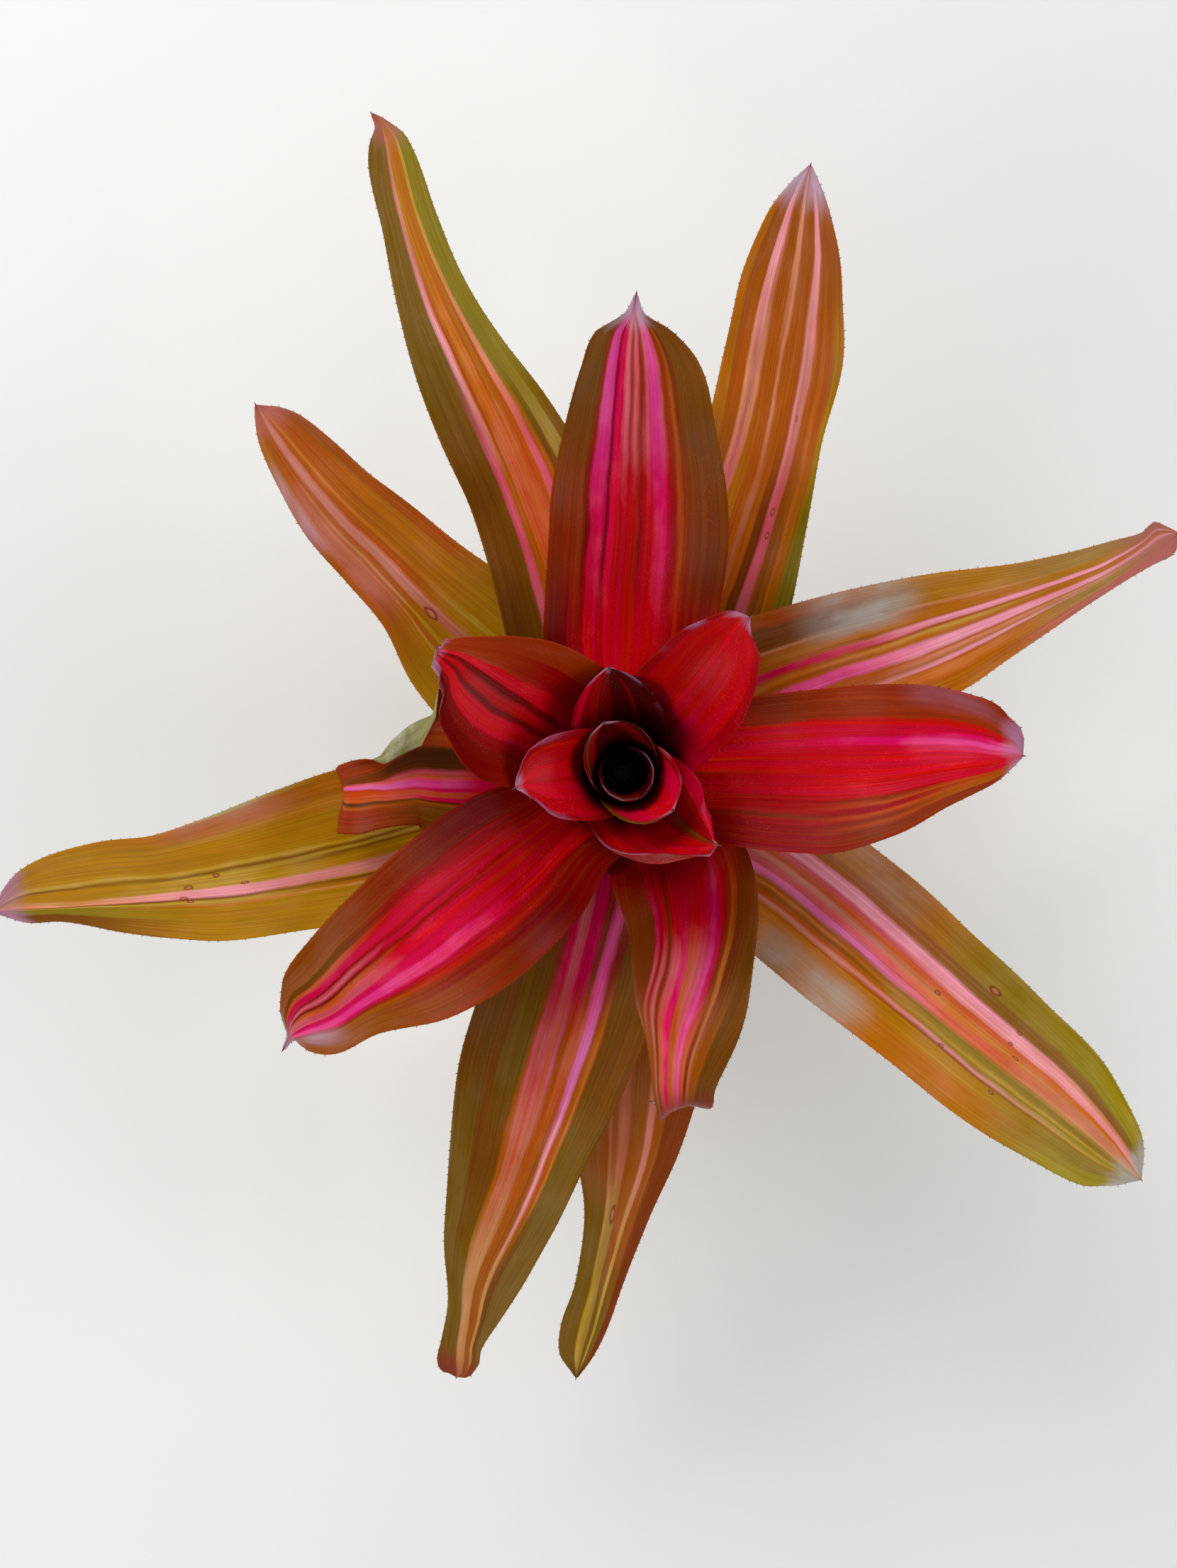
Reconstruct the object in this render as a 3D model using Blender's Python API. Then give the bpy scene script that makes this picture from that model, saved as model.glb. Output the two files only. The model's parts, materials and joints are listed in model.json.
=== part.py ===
"""A potted neoregelia bromeliad: 21 leaves in a rosette on a short stem, potting mix and a clay pot.

Frame: metres, +Z up, origin at the centre of the pot's foot, on the axis that the rosette grows round.
Sizes below are in millimetres and are turned into metres where the meshes are made.
"""
import math

import bmesh
import bpy
from mathutils import Vector

MM = 0.001
CLEARANCE = 0.35              # gap kept where one piece is seated on another
FOOT_CLEARANCE = 0.65         # from the stem to the middle of a leaf's foot, whose edge is sloped

# Clay pot: a tapered body under a plain collar
POT_HEIGHT = 112.0
POT_FOOT_RADIUS = 44.0
POT_COLLAR_RADIUS = 65.0
POT_COLLAR_HEIGHT = 24.0
POT_COLLAR_STEP = 3.0         # how far the collar stands proud of the body below it
POT_COLLAR_TAPER = 1.5        # how much narrower the collar's lower edge is than its lip
POT_WALL = 5.0
POT_FLOOR = 7.0
POT_SIDES = 40
DRAIN_HOLES = 3
DRAIN_RADIUS = 4.5
DRAIN_DISTANCE = 22.0         # from the middle of the pot, which stays whole
DRAIN_TURN = math.radians(20.0)
DRAIN_SIDES = 16

# Potting mix, filled to below the lip
MIX_TOP = 97.0
MIX_CROWN = 3.0               # the mix is heaped a little towards the stem
MIX_SHOULDER_RADIUS = 38.0
MIX_SHOULDER_RISE = 0.7       # share of the heap that is reached at the shoulder
MIX_WALL_GAP = 0.6
MIX_SIDES = 32

# Stem: a short stout caudex, coned where the young leaves spring from it
STEM_RADIUS = 13.0
STEM_APEX_RADIUS = 5.0
STEM_APEX_HEIGHT = 146.0
STEM_CONE = 0.35              # growth of the radius per millimetre down from the apex
STEM_BOTTOM = 74.0
STEM_SIDES = 24

# Leaf bases: rank 0 is the innermost leaf, and each rank down the stem wraps outside the last
SHEATH_RADIUS_INNER = 7.5
SHEATH_RADIUS_STEP = 1.5
FOOT_HEIGHT_INNER = 144.0
FOOT_HEIGHT_STEP = 2.1
FOOT_RISE = 0.8               # rise of the foot's curve for each millimetre that it runs outward
SHEATH_TOP_OUTER = 128.0
SHEATH_TOP_STEP = 1.6
SHEATH_FLARE = 1.0
SHEATH_HALF_WIDTH = 34.0
SHEATH_WRAP = math.radians(80.0)
OUTERMOST_RANK = 20

FIRST_TIP = 0.5               # how far the first section of a blade has tipped out of level

BLADE_THICKNESS = 0.8
TIP_HALF_WIDTH = 0.5
SECTION_STEPS = 24            # steps used to follow the curve of a cross-section
CURL_START = 0.60             # where a curled margin starts to turn, as a share of the half-width
CURL_SPAN = 0.24
TIGHTEST_TROUGH = 4.0
WAVE_HEIGHT = 1.5             # rise and fall of the waved margins of the open leaves
WAVE_LENGTH = 41.0
WAVE_FULL_WIDTH = 26.0        # half-width of blade at which the waves reach their full height
LONG_SPAN = 13.0              # stretches of blade longer than this get a row of points half-way

# Each station of a blade: reach from the axis, sideways offset (+ is anticlockwise seen from above),
# height, half-width on the anticlockwise side, half-width on the clockwise side, radius of the
# trough, and, where a margin turns over, the degrees that it turns on each side.
TUBE_LEAVES = [
    dict(name="tube_leaf_inner", rank=0, turn=300, wrap=164, stations=[
        (7.6, 0, 180, 21.0, 21.0, 7.6),
        (8.0, 0, 200, 20.0, 20.0, 8.0),
        (8.7, 0, 208, 14.0, 14.0, 8.6),
        (9.2, 0, 212, 6.0, 6.0, 9.0),
        (9.4, 0, 213, 0.8, 0.8, 9.0)]),
    dict(name="tube_leaf_outer", rank=1, turn=115, wrap=130, stations=[
        (9.4, 0, 180, 21.0, 21.0, 9.4),
        (10.6, 0, 200, 20.0, 20.0, 10.6),
        (12.8, 0, 209, 16.5, 16.5, 11.6),
        (15.3, 0, 214, 9.0, 9.0, 13.0),
        (16.8, 0, 216, 0.8, 0.8, 14.0)]),
]
CUP_LEAVES = [
    dict(name="cup_leaf_lower_right", rank=2, turn=320, wrap=105, stations=[
        (11.2, 0, 182, 19.0, 19.0, 11.2),
        (13.0, 0, 205, 19.0, 19.0, 12.4),
        (15.8, 0, 215, 16.0, 16.0, 13.4),
        (18.0, 0, 220, 9.5, 9.5, 13.0),
        (18.8, 0, 222, 0.8, 0.8, 13.0)]),
    dict(name="cup_leaf_left", rank=3, turn=185, wrap=95, stations=[
        (12.8, 0, 182, 18.0, 18.0, 12.8),
        (16.0, 0, 206, 18.0, 18.0, 15.0),
        (22.0, 0, 217, 16.0, 16.5, 17.0),
        (28.0, 0, 222, 11.5, 12.5, 16.0),
        (32.0, 1, 224, 4.5, 5.0, 10.0),
        (34.5, 2, 225, 0.5, 0.5, 6.0)]),
    dict(name="cup_leaf_top", rank=4, turn=100, wrap=90, stations=[
        (14.4, 0, 180, 20.0, 20.0, 14.4),
        (18.5, 0, 203, 18.0, 18.0, 18.0),
        (24.5, 0, 214, 14.5, 14.5, 20.0),
        (29.5, 0, 220, 8.0, 8.0, 16.0),
        (32.5, 0, 223, 0.8, 0.8, 8.0)]),
    dict(name="cup_leaf_lower", rank=5, turn=303, wrap=90, stations=[
        (16.0, 0, 180, 23.0, 24.0, 16.0),
        (20.0, 0, 199, 22.0, 27.0, 18.5),
        (26.0, 2, 209, 17.0, 24.5, 26.0, 0, 20),
        (30.5, 6, 216, 10.0, 19.5, 22.0, 0, 35),
        (33.0, 9, 220, 4.0, 8.0, 12.0, 0, 20),
        (34.5, 11, 221, 0.5, 0.5, 6.0)]),
]
HEART_LEAVES = [
    dict(name="heart_leaf_upper_right", rank=6, turn=50, wrap=85, stations=[
        (18.5, 0, 180, 21.0, 21.0, 18.5),
        (24.0, 0, 205, 19.5, 19.5, 22.0),
        (32.0, 0, 218, 19.5, 20.0, 23.0),
        (40.0, 0.5, 226, 17.5, 20.0, 21.0),
        (48.5, 1, 231, 15.0, 14.0, 17.0),
        (54.5, 2, 232, 9.0, 6.0, 11.0),
        (58.0, 2, 232, 4.0, 2.0, 8.0),
        (59.5, 1.5, 232, 0.5, 0.5, 6.0)]),
    dict(name="heart_leaf_upper_left", rank=7, turn=145, wrap=82, stations=[
        (20.5, 0, 180, 25.0, 25.0, 20.5),
        (28.0, 0, 204, 26.0, 26.0, 27.0),
        (37.0, 0.5, 217, 28.5, 25.0, 30.0),
        (47.0, 1, 226, 32.0, 21.0, 30.0),
        (55.0, 1, 231, 28.0, 14.5, 24.0),
        (61.0, 1, 233, 17.5, 8.0, 16.0),
        (65.0, 2, 234, 11.5, 4.5, 11.0),
        (67.3, 3, 234, 5.5, 3.5, 8.0),
        (68.3, 2.5, 234, 0.5, 0.5, 6.0)]),
]
MIDDLE_LEAVES = [
    dict(name="middle_leaf_right", rank=8, turn=1, wrap=72, stations=[
        (30.5, 0, 176.5, 24.0, 25.0, 31.5),
        (51, 0, 190, 25.5, 28.0, 45.0),
        (69, 0, 197, 27.0, 28.5, 50.0),
        (84, 0.5, 202, 27.0, 23.5, 50.0),
        (99, 2, 205, 25.0, 16.5, 42.0),
        (112, 3, 207, 20.5, 11.0, 30.0),
        (120, 3.5, 206, 15.0, 7.0, 18.0),
        (124.5, 3.5, 206, 9.0, 3.5, 12.0),
        (127, 3, 205, 0.8, 0.8, 8.0)]),
    dict(name="middle_leaf_top", rank=9, turn=89, wrap=70, stations=[
        (29.5, 1, 169, 22.0, 24.0, 31.0),
        (45, 1, 182.5, 27.5, 31.0, 45.0),
        (60, 1, 192, 26.5, 32.5, 60.0),
        (76, 0, 199, 26.5, 32.5, 65.0),
        (92, 0, 205, 25.5, 31.5, 60.0),
        (110, 0, 211, 21.5, 27.0, 50.0),
        (127, 0, 214, 16.5, 22.0, 40.0),
        (138, 0, 215, 12.0, 12.5, 25.0),
        (143.5, 0, 216, 3.0, 3.5, 10.0),
        (149, -0.5, 217, 0.5, 0.5, 8.0)]),
    dict(name="middle_leaf_lower_left", rank=10, turn=218, wrap=70, stations=[
        (31.5, 1, 163.5, 23.5, 21.0, 32.5),
        (49, 1.5, 179, 29.5, 27.5, 45.0),
        (72, 1.5, 191, 31.0, 27.5, 60.0),
        (95, 2, 199, 26.0, 25.5, 60.0),
        (114, 2, 204, 15.5, 22.5, 40.0),
        (127, 1.5, 205, 13.0, 18.0, 25.0),
        (134, 1, 205, 7.0, 9.0, 15.0),
        (136.5, 1, 204, 1.6, 2.0, 10.0),
        (141, 2.5, 203, 0.5, 0.5, 8.0)]),
    dict(name="middle_leaf_bottom", rank=11, turn=287, wrap=70, stations=[
        (34, 3, 155.5, 22.0, 19.5, 36.5),
        (42, 4.5, 169, 29.0, 20.0, 42.0),
        (55, 4, 180, 27.5, 18.5, 50.0),
        (68, 2, 188, 22.0, 19.0, 50.0),
        (80, -3, 195, 20.0, 17.0, 45.0),
        (93, -9, 199, 15.5, 11.0, 35.0),
        (103, -12.5, 199, 11.0, 9.5, 25.0),
        (109, -14, 195, 10.0, 8.5, 18.0),
        (111, -15, 188, 8.0, 7.5, 14.0),
        (110, -18, 184, 2.5, 3.0, 9.0),
        (108, -23, 182, 0.5, 0.5, 8.0)]),
    dict(name="middle_leaf_left", rank=12, turn=184, columns=16, stations=[
        (32, 2, 158, 26.0, 28.0, 33.0),
        (44, 2, 167, 22.0, 31.0, 40.0),
        (56, 1.5, 174, 18.0, 32.5, 45.0),
        (66, 0.5, 178, 14.5, 34.0, 60.0),
        (69.5, 0, 179, 13.0, 33.0, 60.0, 0, 150),
        (75, 0, 181, 12.5, 26.0, 55.0, 0, 160),
        (80, 0, 182, 13.0, 18.0, 45.0, 0, 140),
        (85, -0.5, 182, 15.0, 12.0, 30.0, 0, 50),
        (91, -0.5, 180, 15.5, 9.5, 18.0, -20, 0),
        (94, -0.5, 176, 13.5, 8.0, 14.0, -30, 0),
        (94.5, 1, 172, 4.0, 4.0, 10.0)]),
]
OUTER_LEAVES = [
    dict(name="outer_leaf_right", rank=13, turn=24, stations=[
        (46, 5, 155, 30.0, 30.0, 42.0),
        (67, 6, 163, 25.0, 27.0, 55.0),
        (100, 2.5, 170, 22.0, 24.0, 65.0),
        (120, 1, 170, 18.5, 22.5, 60.0),
        (136, -0.5, 168, 15.5, 18.0, 50.0),
        (152, -2, 165, 12.5, 13.5, 42.0),
        (170, -3, 161, 10.0, 9.5, 35.0),
        (188, -3.5, 156, 8.0, 6.5, 22.0),
        (200, -3.5, 153, 6.5, 5.5, 14.0),
        (206, -3, 152, 8.0, 6.0, 12.0),
        (210, -2.5, 151, 4.0, 4.5, 10.0),
        (213, -2.5, 151, 0.5, 0.5, 8.0)]),
    dict(name="outer_leaf_upper_left", rank=14, turn=111, stations=[
        (46, -3, 151.5, 29.0, 29.0, 42.0),
        (72, -4, 163, 23.5, 25.0, 55.0),
        (102, -4, 167, 20.5, 22.5, 65.0),
        (127, -3, 168, 21.0, 19.0, 65.0),
        (151, -2, 166, 20.0, 13.0, 55.0),
        (179, -1, 160, 16.0, 9.0, 45.0),
        (206, -0.5, 151, 11.0, 9.0, 38.0),
        (230, -2, 142, 9.5, 8.5, 28.0),
        (243, -3, 137, 6.5, 6.5, 18.0),
        (250, -3, 135, 2.4, 2.6, 10.0),
        (255, -1.5, 134, 0.5, 0.5, 8.0)]),
    dict(name="outer_leaf_bottom_left", rank=15, turn=256, stations=[
        (47, 1.5, 149, 32.0, 32.0, 44.0),
        (82, 1, 163, 29.5, 31.0, 70.0),
        (110, 0, 166, 25.5, 31.0, 75.0),
        (139, -1.5, 162, 20.5, 25.5, 65.0),
        (170, -4.5, 152, 17.5, 17.5, 50.0),
        (198, -6, 142, 11.5, 8.5, 30.0),
        (213, -6.5, 136, 8.0, 7.0, 18.0),
        (220, -6, 134, 8.0, 7.5, 15.0),
        (225, -5, 133, 5.0, 5.0, 12.0),
        (227, -5, 132, 0.8, 0.8, 10.0)]),
    dict(name="outer_leaf_lower_right", rank=16, turn=325, stations=[
        (47, 2, 143, 32.0, 32.0, 44.0),
        (70, 3, 154, 27.5, 29.5, 60.0),
        (102, 0, 162, 27.5, 28.0, 80.0),
        (133, -3, 163, 26.0, 26.0, 85.0),
        (163, -5, 159, 24.0, 26.0, 80.0),
        (195, -7, 151, 20.5, 22.5, 60.0),
        (218, -9.5, 143, 13.5, 17.0, 35.0),
        (230, -11.5, 139, 7.5, 8.5, 20.0),
        (237, -12.5, 137, 0.8, 0.8, 10.0)]),
    dict(name="outer_leaf_left_upper", rank=17, turn=137, stations=[
        (47, 2, 144.5, 31.0, 28.0, 46.0),
        (75, 4, 152, 24.0, 27.0, 65.0),
        (95, 4, 155, 15.5, 24.0, 65.0),
        (115, 3, 155, 14.0, 21.5, 60.0),
        (135, 2.5, 153, 12.5, 19.0, 52.0),
        (156, 0, 149, 9.0, 16.5, 42.0),
        (171, -3, 146, 6.0, 12.5, 28.0),
        (180, -5.5, 143, 3.0, 6.5, 15.0),
        (185, -7, 142, 0.6, 0.6, 10.0)]),
    dict(name="outer_leaf_left", rank=18, turn=196, stations=[
        (49, 2, 138, 31.0, 31.0, 46.0),
        (81, 2, 150, 26.0, 29.0, 65.0),
        (98, 2, 157, 23.5, 31.0, 75.0),
        (120, 0.5, 160, 21.5, 28.0, 75.0),
        (147, -2, 159, 20.0, 23.0, 65.0),
        (165, -4, 156, 16.0, 20.5, 55.0),
        (184, -6.5, 153, 11.0, 21.5, 45.0),
        (204, -9.5, 147, 5.5, 19.0, 35.0),
        (217, -12, 143, 5.0, 14.0, 22.0),
        (225, -13.5, 141, 2.5, 7.0, 12.0),
        (229, -14, 140, 0.8, 0.8, 8.0)]),
    dict(name="outer_leaf_upper_right", rank=19, turn=64, stations=[
        (49, -4, 139, 32.0, 32.0, 46.0),
        (70, -3, 148, 25.0, 27.0, 60.0),
        (100, 3, 155, 20.5, 24.0, 70.0),
        (127, 9, 157, 18.5, 22.0, 70.0),
        (155, 15, 155, 19.0, 22.5, 65.0),
        (181, 22, 151, 18.0, 18.0, 55.0),
        (204, 29, 146, 12.0, 11.5, 35.0),
        (216, 32.5, 143, 6.0, 6.5, 18.0),
        (225, 34.5, 141, 0.6, 0.6, 8.0)]),
    dict(name="outer_leaf_bottom", rank=20, turn=272, stations=[
        (51, 4, 134, 33.0, 30.0, 48.0),
        (78, 4, 147, 26.0, 28.0, 65.0),
        (106, 1.5, 151, 23.0, 25.0, 70.0),
        (131, -1, 151, 16.5, 21.5, 55.0),
        (156, -7, 146, 11.0, 12.0, 42.0),
        (183, -14, 137, 8.0, 9.0, 28.0),
        (200, -18, 131, 6.0, 11.5, 20.0),
        (212, -21.5, 127, 4.0, 9.0, 14.0),
        (221, -24, 125, 0.6, 0.6, 8.0)]),
]

COLUMNS_ROLLED = 12           # faces across a leaf that rolls or cups round the axis
COLUMNS_OPEN = 8              # faces across an open blade

GREEN_BROWN = (0.20, 0.10, 0.02)
DEEP_RED = (0.28, 0.012, 0.008)
CRIMSON = (0.42, 0.02, 0.03)


def clear_scene():
    """Remove whatever the file opened with."""
    for thing in list(bpy.data.objects):
        bpy.data.objects.remove(thing, do_unlink=True)


def finish_material(name, colour, roughness, metallic=0.0):
    """A Principled material in one colour."""
    material = bpy.data.materials.new(name)
    material.use_nodes = True
    shader = material.node_tree.nodes["Principled BSDF"]
    shader.inputs["Base Color"].default_value = (*colour, 1.0)
    shader.inputs["Roughness"].default_value = roughness
    shader.inputs["Metallic"].default_value = metallic
    return material


def add_object(name, mesh_data, material, smooth_angle=40.0):
    """Put finished mesh data into the scene as a smooth-shaded object."""
    mesh = bpy.data.meshes.new(name)
    mesh_data.to_mesh(mesh)
    mesh_data.free()
    mesh.materials.append(material)
    mesh.shade_smooth()
    mesh.set_sharp_from_angle(angle=math.radians(smooth_angle))
    piece = bpy.data.objects.new(name, mesh)
    bpy.context.scene.collection.objects.link(piece)
    return piece


def turned_body(profile, sides):
    """Spin a closed profile of (radius, height) points in millimetres round the Z axis."""
    body = bmesh.new()
    rings = []
    for radius, height in profile:
        if radius <= 0.0:
            rings.append([body.verts.new((0.0, 0.0, height * MM))])
            continue
        ring = []
        for side in range(sides):
            angle = 2.0 * math.pi * side / sides
            point = (radius * math.cos(angle) * MM, radius * math.sin(angle) * MM, height * MM)
            ring.append(body.verts.new(point))
        rings.append(ring)
    for lower, upper in zip(rings, rings[1:]):
        join_rings(body, lower, upper, sides)
    if len(rings[0]) > 1 and len(rings[-1]) > 1:
        join_rings(body, rings[-1], rings[0], sides)
    bmesh.ops.recalc_face_normals(body, faces=body.faces)
    return body


def join_rings(body, first, second, sides):
    """Faces between two neighbouring rings, either of which may be a single point."""
    for side in range(sides):
        after = (side + 1) % sides
        if len(first) == 1:
            body.faces.new((first[0], second[after], second[side]))
        elif len(second) == 1:
            body.faces.new((first[side], first[after], second[0]))
        else:
            body.faces.new((first[side], first[after], second[after], second[side]))


def stem_radius(height):
    """Radius of the stem: coned under its apex, then straight."""
    return min(STEM_RADIUS, STEM_APEX_RADIUS + (STEM_APEX_HEIGHT - height) * STEM_CONE)


def leaf_base(leaf):
    """Stations of the foot on the stem and of the sheath, which every leaf has alike."""
    rank = leaf["rank"]
    sheath = SHEATH_RADIUS_INNER + SHEATH_RADIUS_STEP * rank
    foot_height = FOOT_HEIGHT_INNER - FOOT_HEIGHT_STEP * rank
    foot_radius = stem_radius(foot_height) + FOOT_CLEARANCE
    run = sheath - foot_radius
    rise = FOOT_RISE * run + 1.0
    wrap = math.radians(leaf["wrap"]) if "wrap" in leaf else min(SHEATH_WRAP, SHEATH_HALF_WIDTH / sheath)
    top_height = SHEATH_TOP_OUTER + SHEATH_TOP_STEP * (OUTERMOST_RANK - rank)
    outline = ((foot_radius, foot_height), (sheath, foot_height + rise), (sheath + SHEATH_FLARE, top_height))
    stations = []
    for reach, height in outline:
        half_width = reach * wrap
        stations.append((reach, 0.0, height, half_width, half_width, reach, 0.0, 0.0, 0.0))
    return stations


def blade_stations(leaf):
    """A blade's stations, with margin turns of nothing where none are given.

    The last value is how far a cross-section has tipped from level, as in the sheath, to square
    across the midrib.
    """
    stations = []
    for index, station in enumerate(leaf["stations"]):
        margins = (0.0,) * (8 - len(station))
        tip = FIRST_TIP if index == 0 else 1.0
        stations.append(tuple(float(value) for value in station) + margins + (tip,))
    return stations


def smooth_rows(stations, steps):
    """Rows along a smooth curve through the stations, each with its tangent."""
    distance = [0.0]
    for here, after in zip(stations, stations[1:]):
        distance.append(distance[-1] + math.dist(here[:3], after[:3]))
    slopes = []
    for index in range(len(stations)):
        before = max(index - 1, 0)
        after = min(index + 1, len(stations) - 1)
        span = distance[after] - distance[before]
        slopes.append([(b - a) / span for a, b in zip(stations[before], stations[after])])
    rows = []
    for index in range(len(stations) - 1):
        span = distance[index + 1] - distance[index]
        count = steps(span)
        for step in range(count + (index == len(stations) - 2)):
            share = step / count
            rows.append(hermite(stations[index], stations[index + 1],
                                slopes[index], slopes[index + 1], span, share))
    return rows


def hermite(start, end, slope_start, slope_end, span, share):
    """One row of a cubic between two stations: its values, and the direction of the midrib."""
    square, cube = share * share, share ** 3
    weights = (2 * cube - 3 * square + 1, cube - 2 * square + share,
               3 * square - 2 * cube, cube - square)
    rates = (6 * square - 6 * share, 3 * square - 4 * share + 1,
             6 * share - 6 * square, 3 * square - 2 * share)
    values = []
    tangent = []
    for column in range(len(start)):
        terms = (start[column], slope_start[column] * span, end[column], slope_end[column] * span)
        values.append(sum(weight * term for weight, term in zip(weights, terms)))
        if column < 3:
            tangent.append(sum(rate * term for rate, term in zip(rates, terms)))
    return values, Vector(tangent).normalized()


def half_section(half_width, trough, turn, columns):
    """Points (sideways, lift) across one half of a blade, whose margin may turn over."""
    points = []
    sideways = lift = 0.0
    piece = half_width / SECTION_STEPS
    for step in range(SECTION_STEPS):
        share = (step + 0.5) / SECTION_STEPS
        bend = min(max((share - CURL_START) / CURL_SPAN, 0.0), 1.0)
        angle = share * half_width / trough + math.radians(turn) * bend * bend * (3.0 - 2.0 * bend)
        sideways += piece * math.cos(angle)
        lift += piece * math.sin(angle)
        if (step + 1) % (SECTION_STEPS // columns) == 0:
            points.append((sideways, lift))
    return points


def waved(points, height):
    """Lift one half of a section towards its margin, as the waves of the edge do there."""
    count = len(points)
    return [(sideways, lift + height * ((index + 1) / count) ** 2)
            for index, (sideways, lift) in enumerate(points)]


def blade_surface(leaf, columns, steps, wave_height):
    """Rows of points on a leaf's middle surface, from its foot on the stem to its tip."""
    stations = leaf_base(leaf) + blade_stations(leaf)
    half = columns // 2
    travel = 0.0
    last_centre = Vector(stations[0][:3])
    surface = []
    for values, tangent in smooth_rows(stations, steps):
        reach, side, height, left, right, trough, turn_left, turn_right, tipped = values
        across = Vector((0.0, 1.0, 0.0))
        across = (across - across.dot(tangent) * tangent).normalized()
        inward = (tangent.cross(across) * tipped - Vector((1.0, 0.0, 0.0)) * (1.0 - tipped)).normalized()
        centre = Vector((reach, side, height))
        travel += (centre - last_centre).length
        last_centre = centre
        left = max(left, TIP_HALF_WIDTH)
        right = max(right, TIP_HALF_WIDTH)
        trough = max(trough, TIGHTEST_TROUGH)
        phase = 2.0 * math.pi * travel / WAVE_LENGTH + leaf["rank"]
        wave = wave_height * tipped * min(left / WAVE_FULL_WIDTH, right / WAVE_FULL_WIDTH, 1.0)
        left_points = waved(half_section(left, trough, turn_left, half), wave * math.sin(phase))
        right_points = waved(half_section(right, trough, turn_right, half), wave * math.cos(phase))
        row = [centre - across * sideways + inward * lift for sideways, lift in reversed(right_points)]
        row.append(centre)
        row += [centre + across * sideways + inward * lift for sideways, lift in left_points]
        surface.append(row)
    return surface


def surface_normal(surface, row, column):
    """Direction square to the surface at one of its points, on the leaf's upper side."""
    before = surface[max(row - 1, 0)][column]
    after = surface[min(row + 1, len(surface) - 1)][column]
    points = surface[row]
    right = points[max(column - 1, 0)]
    left = points[min(column + 1, len(points) - 1)]
    return (after - before).cross(left - right).normalized()


def leaf_solid(leaf, columns, wave_height):
    """The closed solid of one leaf, split into triangles alike on both faces."""
    surface = blade_surface(leaf, columns, lambda span: 2 if span > LONG_SPAN else 1, wave_height)
    turn = math.radians(leaf["turn"])
    body = bmesh.new()
    upper = []
    under = []
    for row, points in enumerate(surface):
        upper_row = []
        under_row = []
        for column, point in enumerate(points):
            offset = surface_normal(surface, row, column) * (BLADE_THICKNESS / 2.0)
            for side, made in ((1.0, upper_row), (-1.0, under_row)):
                place = point + offset * side
                across = place.x * math.sin(turn) + place.y * math.cos(turn)
                along = place.x * math.cos(turn) - place.y * math.sin(turn)
                made.append(body.verts.new((along * MM, across * MM, place.z * MM)))
        upper.append(upper_row)
        under.append(under_row)
    last_row = len(surface) - 1
    last_column = columns
    for row in range(last_row):
        for column in range(columns):
            body.faces.new((upper[row][column], upper[row + 1][column], upper[row + 1][column + 1]))
            body.faces.new((upper[row][column], upper[row + 1][column + 1], upper[row][column + 1]))
            body.faces.new((under[row][column], under[row + 1][column + 1], under[row + 1][column]))
            body.faces.new((under[row][column], under[row][column + 1], under[row + 1][column + 1]))
        body.faces.new((upper[row][0], under[row][0], under[row + 1][0], upper[row + 1][0]))
        body.faces.new((under[row][last_column], upper[row][last_column],
                        upper[row + 1][last_column], under[row + 1][last_column]))
    for column in range(columns):
        body.faces.new((under[0][column], upper[0][column], upper[0][column + 1], under[0][column + 1]))
        body.faces.new((upper[last_row][column], under[last_row][column],
                        under[last_row][column + 1], upper[last_row][column + 1]))
    bmesh.ops.triangulate(body, faces=[face for face in body.faces if len(face.verts) > 3])
    bmesh.ops.recalc_face_normals(body, faces=body.faces)
    return body


def make_leaves():
    """Every leaf, from the rolled ones at the heart to the drooping ones outside."""
    tiers = (
        (TUBE_LEAVES, COLUMNS_ROLLED, 0.0, DEEP_RED, 0.35),
        (CUP_LEAVES, COLUMNS_ROLLED, 0.0, DEEP_RED, 0.32),
        (HEART_LEAVES, COLUMNS_OPEN, 0.0, CRIMSON, 0.30),
        (MIDDLE_LEAVES, COLUMNS_OPEN, WAVE_HEIGHT, CRIMSON, 0.30),
        (OUTER_LEAVES, COLUMNS_OPEN, WAVE_HEIGHT, GREEN_BROWN, 0.38),
    )
    for leaves, columns, wave_height, colour, roughness in tiers:
        for leaf in leaves:
            material = finish_material(leaf["name"] + "_skin", colour, roughness)
            body = leaf_solid(leaf, leaf.get("columns", columns), wave_height)
            add_object(leaf["name"], body, material)


def pot_inner_radius(height):
    """Radius of the pot's inside wall at a height above its foot."""
    share = height / POT_HEIGHT
    outer = POT_FOOT_RADIUS + (POT_COLLAR_RADIUS - POT_COLLAR_STEP - POT_FOOT_RADIUS) * share
    return outer - POT_WALL


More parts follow.
